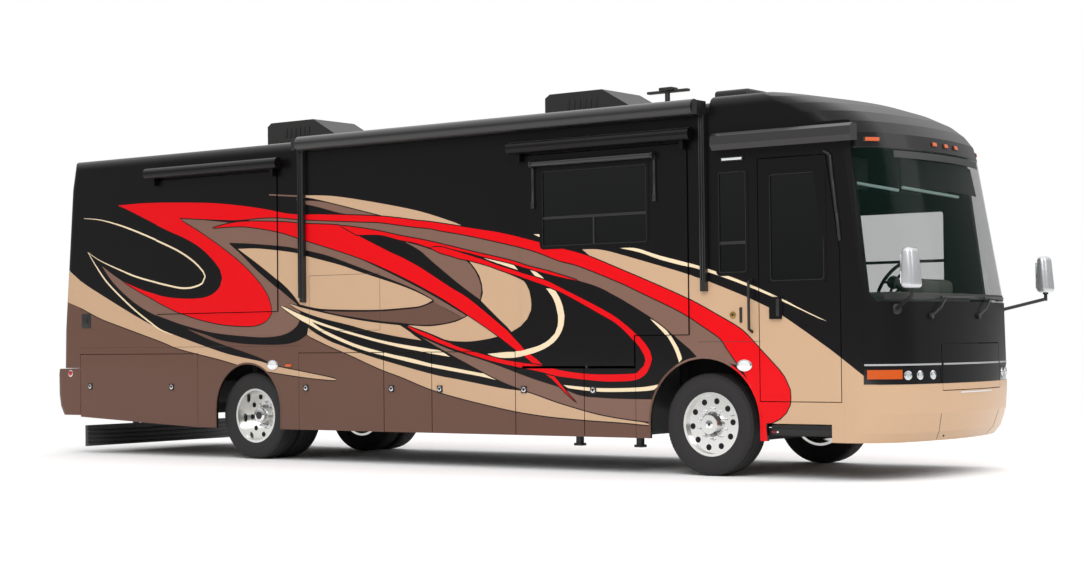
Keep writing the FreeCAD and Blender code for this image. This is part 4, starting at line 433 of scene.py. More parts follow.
        (0.048, 2.063), (0.448, 1.848), (0.710, 1.713), (1.192, 1.386), (1.246, 1.337), (1.391, 1.214),
        (1.490, 1.145), (1.563, 1.102), (1.772, 0.927), (1.955, 0.741), (2.039, 0.673, 1), (1.907, 0.770),
        (1.732, 0.912), (1.653, 0.959), (1.410, 1.134), (1.298, 1.193), (0.966, 1.400), (0.446, 1.681),
        (0.180, 1.809), (-0.227, 1.984), (-0.787, 2.188), (-1.617, 2.419), (-1.963, 2.513),
        (-2.270, 2.569), (-2.582, 2.604),
    )),
    ("loop_cross", "cream", 0, (
        (1.269, 1.183, 1), (1.345, 1.185), (1.470, 1.206), (1.595, 1.239, 1), (1.656, 1.205, 1),
        (1.514, 1.161), (1.344, 1.128, 1),
    )),
    ("red_thin", "red", 1, (
        (-1.070, 2.546, 1), (-0.783, 2.508), (-0.500, 2.461), (-0.222, 2.403), (0.187, 2.327),
        (0.717, 2.208), (1.230, 2.096), (1.481, 2.027), (1.728, 1.969), (2.080, 1.870, 1), (1.850, 1.914),
        (1.356, 2.034), (1.230, 2.070), (0.846, 2.154), (0.716, 2.187), (0.320, 2.265), (0.186, 2.264),
        (0.051, 2.303), (-0.085, 2.336), (-0.223, 2.358), (-0.501, 2.422), (-0.827, 2.435, 1),
    )),
    ("red_loop", "red", 1, (
        (-0.137, 1.452, 1), (0.039, 1.366), (0.441, 1.229), (0.833, 1.123), (1.089, 1.066), (1.591, 0.979),
        (1.837, 0.932), (2.317, 0.888), (2.552, 0.886), (2.680, 0.893), (2.784, 0.916), (2.871, 0.979),
        (2.924, 1.103), (2.902, 1.176), (2.790, 1.306), (2.561, 1.479), (2.327, 1.602), (1.849, 1.813),
        (1.727, 1.866), (1.604, 1.905), (1.102, 2.043), (0.846, 2.126), (0.453, 2.234), (0.320, 2.265),
        (0.186, 2.264, 1), (0.320, 2.205), (0.453, 2.172), (0.584, 2.135), (0.715, 2.112), (0.974, 2.047),
        (1.102, 2.004), (1.479, 1.894), (1.848, 1.769), (2.326, 1.544), (2.560, 1.419), (2.788, 1.211),
        (2.851, 1.086), (2.828, 1.033), (2.753, 0.970), (2.633, 0.957), (2.318, 0.952), (2.079, 0.964),
        (1.837, 0.994), (1.592, 1.043), (1.343, 1.071), (1.090, 1.106), (0.573, 1.225), (0.441, 1.270),
        (0.308, 1.309), (0.175, 1.360), (0.040, 1.400), (-0.096, 1.446),
    )),
)
LINES = (
    ("loop_line", "cream", 0.020, (
        (-5.216, 2.812), (-4.929, 2.782), (-4.576, 2.702), (-4.230, 2.598), (-3.890, 2.482),
        (-3.556, 2.357), (-3.310, 2.228), (-3.164, 2.112), (-3.132, 2.056), (-3.181, 1.980),
        (-3.312, 1.943), (-3.450, 1.932), (-3.659, 1.955), (-4.234, 2.071), (-4.580, 2.175),
        (-4.933, 2.298), (-5.147, 2.402),
    )),
    ("tail_line", "cream", 0.020, (
        (-5.147, 2.402), (-5.005, 2.236), (-4.821, 2.046), (-4.583, 1.868), (-4.317, 1.692),
        (-4.051, 1.542), (-3.890, 1.461), (-3.681, 1.398),
    )),
)

# Shapes


def place(piece, body, *materials):
    for material in materials:
        piece.data.materials.append(material)
    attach(piece, body)
    return piece


def deselect():
    bpy.ops.object.select_all(action="DESELECT")


def choose(piece):
    """Selects one piece alone and makes it active."""
    deselect()
    piece.select_set(True)
    bpy.context.view_layer.objects.active = piece


def apply():
    """Puts a new object's place, turn and size into its mesh."""
    bpy.ops.object.transform_apply(location=True, rotation=True, scale=True)


def named(name):
    piece = bpy.context.active_object
    piece.name = name
    piece.data.name = name
    return piece


def edit(select=True):
    bpy.ops.object.mode_set(mode="EDIT")
    bpy.ops.mesh.select_all(action="SELECT" if select else "DESELECT")


def leave():
    bpy.ops.object.mode_set(mode="OBJECT")


def face_outwards():
    edit()
    bpy.ops.mesh.normals_make_consistent(inside=False)
    leave()


def soften(angle=40):
    bpy.ops.object.shade_smooth_by_angle(angle=math.radians(angle))


def round_edges(width, segments=2):
    edit()
    bpy.ops.mesh.bevel(offset=width, segments=segments, affect="EDGES")
    leave()


def slab(name, body, low, high, material, bevel=0.003, segments=2):
    """A block between two corners with its edges bevelled."""
    deselect()
    low, high = Vector(low), Vector(high)
    bpy.ops.mesh.primitive_cube_add(size=1, location=(low + high) / 2)
    piece = named(name)
    piece.scale = [abs(v) for v in high - low]
    apply()
    if bevel:
        round_edges(bevel, segments)
        soften()
    return place(piece, body, material)


def rod(name, body, start, end, radius, material, bevel=0.0, sides=24):
    """A round bar between two points with its rims bevelled."""
    deselect()
    start, end = Vector(start), Vector(end)
    bpy.ops.mesh.primitive_cylinder_add(vertices=sides, radius=radius, depth=(end - start).length,
                                        location=(start + end) / 2)
    piece = named(name)
    piece.rotation_mode = "QUATERNION"
    piece.rotation_quaternion = (end - start).to_track_quat("Z", "Y")
    apply()
    if bevel:
        round_edges(bevel)
    soften()
    return place(piece, body, material)


def mesh_piece(name, body, points, faces, *materials):
    """A mesh from its points and faces."""
    data = bpy.data.meshes.new(name)
    data.from_pydata(points, [], faces)
    data.update()
    piece = bpy.data.objects.new(name, data)
    bpy.context.scene.collection.objects.link(piece)
    return place(piece, body, *materials)


# A stripe's curve is cut into steps of at least this length, and its dark outline has this width
CURVE_STEP = 0.05
OUTLINE = 0.011


def smooth(points):
    """A closed curve through an outline's points as (x, z) pairs; a third value marks a corner."""
    curve = []
    count = len(points)
    for i in range(count):
        before, here, there, after = (points[(i + k) % count] for k in (-1, 0, 1, 2))
        if len(here) > 2:
            before = here
        if len(there) > 2:
            after = there
        steps = max(1, int(math.dist(here[:2], there[:2]) / CURVE_STEP))
        for step in range(steps):
            t = step / steps
            curve.append(tuple(
                0.5 * (2 * b + (c - a) * t + (2 * a - 5 * b + 4 * c - d) * t * t
                       + (3 * b - a - 3 * c + d) * t * t * t)
                for a, b, c, d in zip(before[:2], here[:2], there[:2], after[:2])
            ))
    return curve


def closed(curve):
    """The edges round a closed curve."""
    return list(zip(curve, curve[1:] + curve[:1]))


def widened(curve, width):
    """A closed curve moved outwards by a width."""
    area = sum(a[0] * b[1] - b[0] * a[1] for a, b in closed(curve))
    side = 1 if area > 0 else -1
    moved = []
    for before, here, after in zip(curve[-1:] + curve[:-1], curve, curve[1:] + curve[:1]):
        first = Vector((here[0] - before[0], here[1] - before[1])).normalized()
        second = Vector((after[0] - here[0], after[1] - here[1])).normalized()
        out = Vector((first.y + second.y, -first.x - second.x)) * side
        out = out.normalized() * width if out.length > 0.3 else first * width
        moved.append((here[0] + out.x, here[1] + out.y))
    return moved


def ribbon(points, width):
    """The closed outline of a line that tapers towards both ends."""
    line = smooth([points[0] + (1,)] + list(points[1:-1]) + [points[-1] + (1,)])
    end = max(range(len(line)), key=lambda i: -math.dist(line[i], points[-1]))
    line = line[:end + 1]
    sides = [[], []]
    for i, here in enumerate(line):
        ahead = Vector(line[min(i + 1, len(line) - 1)]) - Vector(line[max(i - 1, 0)])
        across = Vector((-ahead.y, ahead.x)).normalized() * width / 2
        across *= min(1, 0.25 + 4 * min(i, len(line) - 1 - i) / len(line))
        sides[0].append((here[0] + across.x, here[1] + across.y))
        sides[1].append((here[0] - across.x, here[1] - across.y))
    return sides[0] + sides[1][::-1]


def within(places, edges):
    """Which of the (x, z) places lie inside the region bounded by the edges, by counting crossings."""
    inside = np.zeros(len(places), bool)
    x, z = places[:, 0], places[:, 1]
    for (ax, az), (bx, bz) in edges:
        if az == bz:
            continue
        crossed = (az > z) != (bz > z)
        inside ^= crossed & (x < (bx - ax) * (z - az) / (bz - az) + ax)
    return inside


def rim_edges(name, level):
    """The (x, z) boundary edges of a CAD node's flat faces at one y level."""
    data = NODES[name].data
    seen = {}
    for face in data.polygons:
        if abs(face.center.y - level) > 0.0004 or abs(face.normal.y) < 0.999:
            continue
        corners = [(round(data.vertices[v].co.x, 5), round(data.vertices[v].co.z, 5)) for v in face.vertices]
        for a, b in zip(corners, corners[1:] + corners[:1]):
            key = (min(a, b), max(a, b))
            seen[key] = seen.get(key, 0) + 1
    return [key for key, times in seen.items() if times == 1]


def thicken(piece, depth):
    """Gives an open skin a depth behind its face."""
    choose(piece)
    bpy.ops.object.modifier_add(type="SOLIDIFY")
    film = piece.modifiers[-1]
    film.thickness = depth
    film.offset = -1
    bpy.ops.object.modifier_apply(modifier=film.name)


def painted_layers():
    """The stripes as (colour, edges) from the lowest to the highest, dark outlines included."""
    layers = []
    for name, colour, outlined, points in STRIPES:
        curve = smooth(points)
        if outlined:
            layers.append(("black", closed(widened(curve, OUTLINE))))
        layers.append((colour, closed(curve)))
    layers += [(colour, closed(ribbon(points, width))) for name, colour, width, points in LINES]
    return layers


def enclosed(places, edges):
    """Numbers of the (x, z) places inside the region bounded by the edges."""
    ends = np.array(edges)
    near = ((places >= ends.min(axis=(0, 1))) & (places <= ends.max(axis=(0, 1)))).all(axis=1)
    chosen = np.flatnonzero(near)
    return chosen[within(places[chosen], edges)]


def paint_side(side, sign, panels):
    """Paint skins on the flat panels of one side, cut along the stripe outlines, one skin for each panel."""
    layers = painted_layers()
    regions = [(name, body, level, rim_edges(name, level)) for name, body, level in panels]
    corners, lines = {}, set()
    for edges in [edges for *rest, edges in layers + regions]:
        for edge in edges:
            ends = [corners.setdefault((round(p[0], 5), round(p[1], 5)), len(corners)) for p in edge]
            if ends[0] != ends[1]:
                lines.add((min(ends), max(ends)))
    cut = delaunay_2d_cdt([Vector(p) for p in corners], list(lines), [], 0, 0.00001, False)
    points = np.array([tuple(p) for p in cut[0]])
    faces = np.array([tuple(f) for f in cut[2]])
    middles = points[faces].mean(axis=1)
    colours = np.array(["black"] * len(faces))
    for colour, edges in layers:
        colours[enclosed(middles, edges)] = colour
    shades = [colour for colour in PAINTS if colour != "black"]
    for name, body, level, edges in regions:
        chosen = enclosed(middles, edges)
        chosen = chosen[colours[chosen] != "black"]
        if not len(chosen):
            continue
        used = np.unique(faces[chosen])
        number = {int(v): i for i, v in enumerate(used)}
        mesh = mesh_piece(
            f"{name}_stripes", body,
            [(points[v][0], level + sign * SKIN, points[v][1]) for v in used],
            [[number[int(v)] for v in (face if sign < 0 else face[::-1])] for face in faces[chosen]],
            *[PAINTS[shade] for shade in shades],
        )
        mesh.data.polygons.foreach_set("material_index", [shades.index(c) for c in colours[chosen]])
        mesh.data.update()
        thicken(mesh, SKIN_DEPTH)


RIGHT_PANELS = [
    ("right_wall", "coach", -WALL), ("skirt_panels", "coach", -WALL), ("entry_door", "entry_door", -WALL),
    ("right_front_slide", "right_front_slide", -SLIDE_FACE),
    ("right_rear_slide", "right_rear_slide", -SLIDE_FACE),
    ("right_tail_door", "right_tail_door", -WALL),
] + [(f"right_bay_door_{i}", f"right_bay_door_{i}", -WALL) for i in range(1, 6)]
LEFT_PANELS = [
    ("left_wall", "coach", WALL), ("skirt_panels", "coach", WALL), ("left_slide", "left_slide", SLIDE_FACE),
    ("left_tail_door", "left_tail_door", WALL),
] + [(f"left_bay_door_{i}", f"left_bay_door_{i}", WALL) for i in range(1, 4)]
paint_side("right", -1, RIGHT_PANELS)
paint_side("left", 1, LEFT_PANELS)

# Finishes within one CAD part


def finish_faces(name, material, chosen):
    """Gives the chosen faces of a CAD node another finish."""
    data = NODES[name].data
    data.materials.append(material)
    index = len(data.materials) - 1
    for face in data.polygons:
        if chosen(face.center):
            face.material_index = index


ROOF_COVING = 1.20
HORN_PAD = Vector((4.61, 0.64, 1.80))
HORN_PAD_REACH = 0.09
finish_faces("roof", PAINTS["black"], lambda middle: abs(middle.y) > ROOF_COVING)
finish_faces("steering_wheel", DASH_COVER, lambda middle: (middle - HORN_PAD).length < HORN_PAD_REACH)
finish_faces("side_glass", CLEAR_GLASS, lambda middle: middle.y > 0)

# Curved parts


def wrapped(name, body, target, angles, levels, proud, material, hub=NOSE_HUB, way=1, steps=24, thick=0.006,
            rows=3):
    """A plate that follows a convex CAD surface between two bearings and two heights, in degrees and metres.

    Bearings turn about a vertical line through (hub, 0); way is 1 for the front end and -1 for the tail."""
    surface_node = NODES[target]
    points, inner = [], []
    for i in range(steps + 1):
        bearing = math.radians(angles[0] + (angles[1] - angles[0]) * i / steps)
        out = Vector((math.cos(bearing) * way, math.sin(bearing), 0))
        for j in range(rows + 1):
            level = levels[0] + (levels[1] - levels[0]) * j / rows
            hit, spot, normal, _ = surface_node.ray_cast(Vector((hub, 0, level)) + out * 3, -out)
            if not hit:
                return None
            points.append(spot + normal * proud)
            inner.append(spot + normal * (proud - thick))
    count = len(points)
    faces = []
    for i in range(steps):
        for j in range(rows):
            a = i * (rows + 1) + j
            faces.append((a, a + rows + 1, a + rows + 2, a + 1))
            faces.append((a + count, a + 1 + count, a + rows + 2 + count, a + rows + 1 + count))
    edge = ([i * (rows + 1) for i in range(steps + 1)]
            + [steps * (rows + 1) + j for j in range(1, rows + 1)]
            + [i * (rows + 1) + rows for i in range(steps - 1, -1, -1)]
            + [j for j in range(rows - 1, 0, -1)])
    for a, b in zip(edge, edge[1:] + edge[:1]):
        faces.append((a, a + count, b + count, b))
    piece = mesh_piece(name, body, points + inner, faces, material)
    choose(piece)
    face_outwards()
    soften()
    return piece


def bearing_of(y, x):
    return math.degrees(math.atan2(y, x - NOSE_HUB))


def rounded(low_x, high_x, low_z, high_z, radius, turns=6):
    """The corners of a rectangle in x and z with rounded corners."""
    points = []
    left, right, low, high = low_x + radius, high_x - radius, low_z + radius, high_z - radius
    for quarter, (x, z) in enumerate(((right, high), (left, high), (left, low), (right, low))):
        for step in range(turns + 1):
            angle = math.radians(90 * (quarter + step / turns))
            points.append((x + radius * math.cos(angle), z + radius * math.sin(angle)))
    return points


def window_frame(name, body, rect, width, radius, level, sign, depth, material, proud=0.002):
    """A rounded frame around a window, from just proud of the panel to some depth behind its face."""
    low_x, high_x, low_z, high_z = rect
    outer = rounded(low_x, high_x, low_z, high_z, radius)
    inner = rounded(low_x + width, high_x - width, low_z + width, high_z - width, max(0.006, radius - width))
    count = len(outer)
    front, back = sign * (level + proud), sign * (level - depth)
    points = [(x, y, z) for y in (front, back) for loop in (outer, inner) for x, z in loop]
    faces = []
    for i in range(count):
        k = (i + 1) % count
        faces.append((i, k, count + k, count + i))
        faces.append((2 * count + i, 3 * count + i, 3 * count + k, 2 * count + k))
        faces.append((i, 2 * count + i, 2 * count + k, k))
        faces.append((count + i, count + k, 3 * count + k, 3 * count + i))
    piece = mesh_piece(name, body, points, faces, material)
    choose(piece)
    face_outwards()
    return piece


def flat_slab(name, body, rect, sign, level, proud, material, bevel=0.002, sunk=0.004):
    """A thin block on the outside of a side panel."""
    low_x, high_x, low_z, high_z = rect
    ys = sorted((sign * (level - sunk), sign * (level + proud)))
    return slab(name, body, (low_x, ys[0], low_z), (high_x, ys[1], high_z), material, bevel)


def joined(name, pieces):
    """Several pieces of one finish made into one mesh."""
    deselect()
    for piece in pieces:
        piece.select_set(True)
    bpy.context.view_layer.objects.active = pieces[0]
    bpy.ops.object.join()
    return named(name)


# Wheels and tyres: how far the tyres, the discs and the hub caps' ends are from the middle, and the circles
# of the nuts, the hand holes and the valve

FRONT_TYRE_Y = 1.052
REAR_TYRES_Y = (1.046, 0.720)
FRONT_DISC = 1.123
FRONT_CAP_END = 1.190
REAR_DISC = 0.981
REAR_CAP_END = 1.100
TREAD_BLOCKS = 84
SHOULDER_CUT = 0.0055
WHEEL_NUTS = 10
NUT_CIRCLE = 0.143
HAND_HOLE_CIRCLE = 0.222
VALVE_CIRCLE = 0.262


def tyre_rows():
    """Half of a tyre's section as (radius, distance from the middle plane, is a shoulder row)."""
    rows = [(0.2866, 0.0), (0.2866, 0.096), (0.308, 0.0965), (0.308, 0.113), (0.322, 0.1195),
            (0.338, 0.1255), (0.350, 0.1292), (0.352, 0.1312), (0.357, 0.1325), (0.359, 0.1318),
            (0.378, 0.1355), (0.402, 0.1378), (0.425, 0.1368), (0.441, 0.1338), (0.443, 0.1348),
            (0.449, 0.1332), (0.451, 0.1302)]
    rows = [row + (0,) for row in rows]
    rows += [(0.462, 0.1265, 1), (0.4735, 0.1195, 1), (0.4775, 0.112, 1), (0.4795, 0.098, 1)]
    for groove, crown in ((0.086, 0.4803), (0.031, 0.4826)):
        rows += [(crown, groove + 0.0062, 0), (0.4665, groove + 0.0040, 0), (0.4665, groove - 0.0040, 0),
                 (crown, groove - 0.0062, 0)]
    rows.append((0.483, 0.0, 0))
    return rows


def around(centre, radius, angle):
    """A point on a wheel's circle, at an angle in radians from the front."""
    return centre + Vector((radius * math.cos(angle), 0, radius * math.sin(angle)))


def make_tyre(name, body, centre):
    """A radial coach tyre: rib tread with four grooves, cut shoulders and ringed sidewalls."""
    half = tyre_rows()
    section = [(r, -w, s) for r, w, s in half] + [(r, w, s) for r, w, s in half[-2:0:-1]]
    turns = [((block + share) * math.tau / TREAD_BLOCKS, depth) for block in range(TREAD_BLOCKS)
             for share, depth in ((0, 0), (0.74, 0), (0.78, SHOULDER_CUT), (0.96, SHOULDER_CUT))]
    points = []
    for angle, notch in turns:
        for radius, across, shoulder in section:
            r = radius - notch * shoulder
            points.append(around(Vector(centre) + Vector((0, across, 0)), r, angle))
    count, total = len(section), len(turns)
    faces = []
    for i in range(total):
        k = (i + 1) % total
        for j in range(count):
            m = (j + 1) % count
            faces.append((i * count + j, i * count + m, k * count + m, k * count + j))
    piece = mesh_piece(name, body, points, faces, TYRE)
    choose(piece)
    soften(30)
    return piece


def dress_wheel(name, body, sign, x, face, hub_out):
    """Nuts, hand holes drawn as near-black discs of painted shade, hub and valve of one wheel; face is the
    disc's outer side, hub_out the cap's end.
    """
    centre = Vector((x, sign * face, TYRE_RADIUS))
    out = Vector((0, sign, 0))
    nuts = []
    hole_shades = []
    for i in range(WHEEL_NUTS):
        spot = around(centre, NUT_CIRCLE, math.tau * (i + 0.5) / WHEEL_NUTS)
        nuts += [
            rod(f"{name}_washer_{i}", body, spot, spot + out * 0.006, 0.022, CHROME),
            rod(f"{name}_nut_{i}", body, spot, spot + out * 0.030, 0.0185, CHROME, bevel=0.004, sides=6),
            rod(f"{name}_stud_{i}", body, spot, spot + out * 0.038, 0.0115, CHROME, bevel=0.002, sides=16),
        ]
        # Hand holes: near-black discs just proud of the wheel's face, painted shade of the holes
        spot = around(centre, HAND_HOLE_CIRCLE, math.tau * i / WHEEL_NUTS + 0.1)
        hole_shades.append(rod(f"{name}_hand_hole_{i}", body, spot - out * 0.006, spot + out * 0.0008, 0.029,
                         HOLE_SHADE, bevel=0.0003, sides=32))
    joined(f"{name}_nuts", nuts)
    joined(f"{name}_hand_holes", hole_shades)
    rod(f"{name}_hub_ring", body, centre, centre + out * 0.012, 0.112, CHROME, bevel=0.005, sides=48)
    rod(f"{name}_hub_cap", body, centre, centre + out * (hub_out - face), 0.083, CHROME, bevel=0.012,
        sides=48)
    rod(f"{name}_hub_plug", body, centre, centre + out * (hub_out - face + 0.003), 0.014, DARK_IRON,
        bevel=0.001)
    start = around(centre + out * 0.002, VALVE_CIRCLE, math.radians(20))
    rod(f"{name}_valve", body, start, start + Vector((-0.03, sign * 0.045, -0.01)), 0.0045, CHROME,
        bevel=0.001)


for side, sign in SIDES:
    body = f"front_{side}_wheel"
    make_tyre(f"front_{side}_tyre_tread", body, (FRONT_AXLE, sign * FRONT_TYRE_Y, TYRE_RADIUS))
    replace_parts(bpy.data.objects[f"front_{side}_tyre_tread"], f"front_{side}_tyre")
    dress_wheel(f"front_{side}", body, sign, FRONT_AXLE, FRONT_DISC, FRONT_CAP_END)
    body = f"rear_{side}_wheels"
    covers = [make_tyre(f"rear_{side}_tyre_tread_{k}", body, (REAR_AXLE, sign * y, TYRE_RADIUS))
              for k, y in enumerate(REAR_TYRES_Y, 1)]
    cover = joined(f"rear_{side}_tyre_treads", covers)
    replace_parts(cover, f"rear_{side}_tyres")
    dress_wheel(f"rear_{side}", body, sign, REAR_AXLE, REAR_DISC, REAR_CAP_END)

# Windows

BODY_BLACK = PAINTS["black"]
for name, body, rect, radius, level, sign in (
    ("entry_door_window", "entry_door", (4.199, 4.812, 1.778, 2.812), 0.06, WALL, -1),
    ("right_narrow_window", "coach", (3.653, 4.007, 1.868, 2.862), 0.05, WALL, -1),
    ("right_slide_window", "right_front_slide", (1.615, 2.917, 2.189, 2.991), 0.05, SLIDE_FACE, -1),
    ("left_slide_window_rear", "left_slide", (-2.616, -1.434, 2.134, 2.916), 0.05, SLIDE_FACE, 1),
    ("left_slide_window_front", "left_slide", (0.534, 1.716, 2.134, 2.916), 0.05, SLIDE_FACE, 1),
    ("left_cab_window", "coach", (3.548, 4.792, 1.688, 2.572), 0.06, WALL, 1),
):
    window_frame(name + "_frame", body, rect, 0.028, radius, level, sign, 0.012, BODY_BLACK, proud=0.003)
    window_frame(name + "_seal", body, (rect[0] + 0.026, rect[1] - 0.026, rect[2] + 0.026, rect[3] - 0.026),
                 0.010, radius - 0.02, level, sign, 0.013, RUBBER, proud=-0.001)
for name, body, low, high in (
    ("right_narrow_window_bar", "coach", (3.670, -1.270, 2.160), (3.990, -1.262, 2.188)),
    ("right_slide_window_bar", "right_front_slide", (1.638, -1.283, 2.486), (2.894, -1.274, 2.512)),
    ("right_slide_window_post", "right_front_slide", (2.256, -1.282, 2.212), (2.276, -1.275, 2.490)),
    ("left_rear_window_bar", "left_slide", (-2.041, 1.274, 2.157), (-2.009, 1.283, 2.893)),
    ("left_front_window_bar", "left_slide", (1.109, 1.274, 2.157), (1.141, 1.283, 2.893)),
    ("left_cab_window_bar", "coach", (3.566, 1.262, 2.030), (4.774, 1.270, 2.060)),
):
    slab(name, body, low, high, BLACK_PLASTIC, 0.002)

# Windshield border and nose lamps

for name, reach, levels in (("lower", 70, (1.620, 1.672)), ("upper", 66, (2.900, 2.965))):
    wrapped(f"windshield_{name}_border", "coach", "windshield", (-reach, reach), levels, 0.0015,
            BLACK_PLASTIC, steps=80)
MARKERS = ((-1.089, 5.181), (-0.225, 5.371), (0.0, 5.379), (0.225, 5.371), (1.089, 5.181))
for i, (y, x) in enumerate(MARKERS):
    middle = bearing_of(y, x)
    spread = math.degrees(0.052 / math.hypot(x - NOSE_HUB, y)) * (0.6 if abs(y) < 0.5 else 1)
    wrapped(f"brow_marker_{i}_base", "coach", "front_cap", (middle - spread * 1.25, middle + spread * 1.25),
            (3.030, 3.075), 0.006, BLACK_PLASTIC, steps=6, thick=0.010)
    wrapped(f"brow_marker_{i}", "coach", "front_cap", (middle - spread, middle + spread), (3.036, 3.069),
            0.016, LAMP_AMBER, steps=6, thick=0.014)

LAMP_LEVEL = 0.943
for side, sign in SIDES:
    turn = sorted(sign * bearing_of(y, x) for y, x in ((1.262, 5.192), (1.101, 5.454)))
    wrapped(f"{side}_turn_lens", "coach", "headlamps", turn, (0.912, 0.994), 0.003, LAMP_AMBER, steps=20,
            thick=0.008)
    for k, (y, x) in enumerate(((1.055, 5.485), (0.925, 5.538), (0.752, 5.581))):
        bearing = math.radians(sign * bearing_of(y, x))
        out = Vector((math.cos(bearing), math.sin(bearing), 0))
        _, spot, normal, _ = NODES["headlamps"].ray_cast(Vector((NOSE_HUB, 0, LAMP_LEVEL)) + out * 3, -out)
        rod(f"{side}_lamp_bezel_{k}", "coach", spot - normal * 0.010, spot + normal * 0.006, 0.041, CHROME,
            0.004)
        rod(f"{side}_lamp_lens_{k}", "coach", spot - normal * 0.006, spot + normal * 0.0075, 0.036,
            CLEAR_LENS, 0.002)
        rod(f"{side}_lamp_reflector_{k}", "coach", spot - normal * 0.006, spot + normal * 0.0063, 0.025,
            LAMP_GLOW, 0.002)

# Lamps and hatches of the sides

for side, sign in SIDES:
    for k, (x, z) in enumerate(((-2.085, 1.051), (3.949, 1.037))):
        spot = Vector((x, sign * (WALL - 0.004), z))
        for part, proud, radius, finish in (("bezel", 0.018, 0.055, CHROME),
                                            ("lens", 0.024, 0.042, LAMP_GLOW)):
            rod(f"{side}_dock_lamp_{part}_{k}", "coach", spot, spot + Vector((0, sign * proud, 0)), radius,
                finish, 0.005, 40)
            edit()
            bpy.ops.transform.resize(value=(1.5, 1, 1), center_override=spot)
            leave()
    flat_slab(f"{side}_side_marker", "coach", (-1.890, -1.800, 1.030, 1.062), sign, WALL, 0.014, LAMP_AMBER,
              0.006)
    spot = Vector((-5.470, sign * (WALL - 0.004), 0.955))
    rod(f"{side}_tail_marker_base", "coach", spot, spot + Vector((0, sign * 0.010, 0)), 0.042, CHROME, 0.004)
    rod(f"{side}_tail_marker", "coach", spot, spot + Vector((0, sign * 0.016, 0)), 0.030, LAMP_RED, 0.004)
    flat_slab(f"{side}_rear_hatch", "coach", (-5.262, -5.100, 1.495, 1.668), sign, WALL, 0.006, BLACK_PLASTIC,
              0.004)
    flat_slab(f"{side}_rear_hatch_grip", "coach", (-5.215, -5.147, 1.555, 1.610), sign, WALL, 0.012, RUBBER,
              0.003)

# Brakes behind the front wheels

for side, sign in SIDES:
    inner = Vector((FRONT_AXLE, sign * 0.985, TYRE_RADIUS))
    rod(f"{side}_brake_drum", f"front_{side}_wheel", inner, inner + Vector((0, sign * 0.09, 0)), 0.235,
        DARK_IRON, bevel=0.006, sides=48)

# Front end trim

for k, (target, body, reach) in enumerate((("front_cap", "coach", (-78, -42)),
                                           ("front_cap", "coach", (42, 78)),
                                           ("front_hood", "front_hood", (-40, 40)))):
    wrapped(f"band_strip_{k}", body, target, reach, (1.030, 1.046), 0.003, MIRROR_SILVER)
wrapped("lower_trim_0", "coach", "front_bumper", (-24, 24), (0.772, 0.784), 0.004, CHROME)
SEAM_X = 5.586
SEAM_Y = 0.616
for side, sign in SIDES:
    seam = sign * bearing_of(SEAM_Y, SEAM_X)
    spread = math.degrees(0.0022 / math.hypot(SEAM_X - NOSE_HUB, SEAM_Y))
    wrapped(f"{side}_bumper_seam", "coach", "front_bumper", (seam - spread, seam + spread), (0.360, 0.780),
            0.0015, JOINT, steps=2, thick=0.004, rows=24)

# Inside of the windshield

wrapped("windshield_shade", "coach", "windshield", (-62, 62), (2.640, 2.905), -0.050, ROLLER_CLOTH_AND_WELL_SHADE, steps=60)
for k, (start, end) in enumerate((((5.032, -1.205, 2.672), (5.325, -0.860, 2.601)),
                                  ((5.335, -0.800, 2.630), (5.435, 0.145, 2.586)))):
    rod(f"visor_rod_{k}", "coach", start, end, 0.014, VISOR_ROD, bevel=0.003)
    slab(f"visor_cloth_{k}", "coach", (min(start[0], end[0]) - 0.02, start[1], 2.62),
         (min(start[0], end[0]) - 0.012, end[1], 2.90), ROLLER_CLOTH_AND_WELL_SHADE, 0.001)

slab("dash_cowl", "coach", (4.790, -0.60, 1.570), (5.190, 0.96, 1.700), DASH_COVER, 0.055, 5)
slab("dash_binnacle", "coach", (4.760, 0.30, 1.660), (5.010, 0.97, 1.840), DASH_COVER, 0.070, 6)

# Mirrors

MIRROR_FOOT = Vector((5.414, 1.120, 1.530))
MIRROR_Y = 1.465


def upper_faces(piece, height):
    """Goes to edit mode with the faces above a height selected."""
    choose(piece)
    edit(select=False)
    bpy.ops.mesh.select_mode(type="FACE")
    leave()
    for face in piece.data.polygons:
        face.select = face.center.z > height
    bpy.ops.object.mode_set(mode="EDIT")


def make_mirror(side, sign):
    """A rounded shell on a bent arm with a bracket, and its glass on the rear face."""
    across = sign * MIRROR_Y
    pieces = [slab(f"{side}_mirror_shell", "coach", (5.672, across - 0.113, 1.702),
                   (5.798, across + 0.113, 2.058), MIRROR_SILVER, 0.0)]
    upper_faces(pieces[0], 2.0)
    bpy.ops.transform.resize(value=(0.72, 0.86, 1), center_override=(5.700, across, 2.058))
    bpy.ops.mesh.select_all(action="SELECT")
    bpy.ops.mesh.bevel(offset=0.042, segments=5, affect="EDGES")
    leave()
    soften()
    slab(f"{side}_mirror_glass", "coach", (5.6705, across - 0.085, 1.745), (5.680, across + 0.085, 1.995),
         MIRROR_GLASS, 0.001)
    foot = Vector((MIRROR_FOOT.x, sign * MIRROR_FOOT.y, MIRROR_FOOT.z))
    knee = Vector((5.735, across, 1.640))
    outward = Vector((0.55, sign * 0.83, 0)).normalized()
    pieces += [
        rod(f"{side}_mirror_arm", "coach", foot - outward * 0.02, knee, 0.0165, BLACK_PLASTIC, bevel=0.002),
        rod(f"{side}_mirror_post", "coach", knee - Vector((0, 0, 0.018)), knee + Vector((0, 0, 0.075)),
            0.0165, BLACK_PLASTIC, bevel=0.003),
        rod(f"{side}_mirror_collar", "coach", knee + Vector((0, 0, 0.045)), knee + Vector((0, 0, 0.066)),
            0.027, BLACK_PLASTIC, bevel=0.004),
        rod(f"{side}_mirror_base", "coach", foot - outward * 0.030, foot + outward * 0.018, 0.048,
            BLACK_PLASTIC, bevel=0.008),
    ]
    return pieces


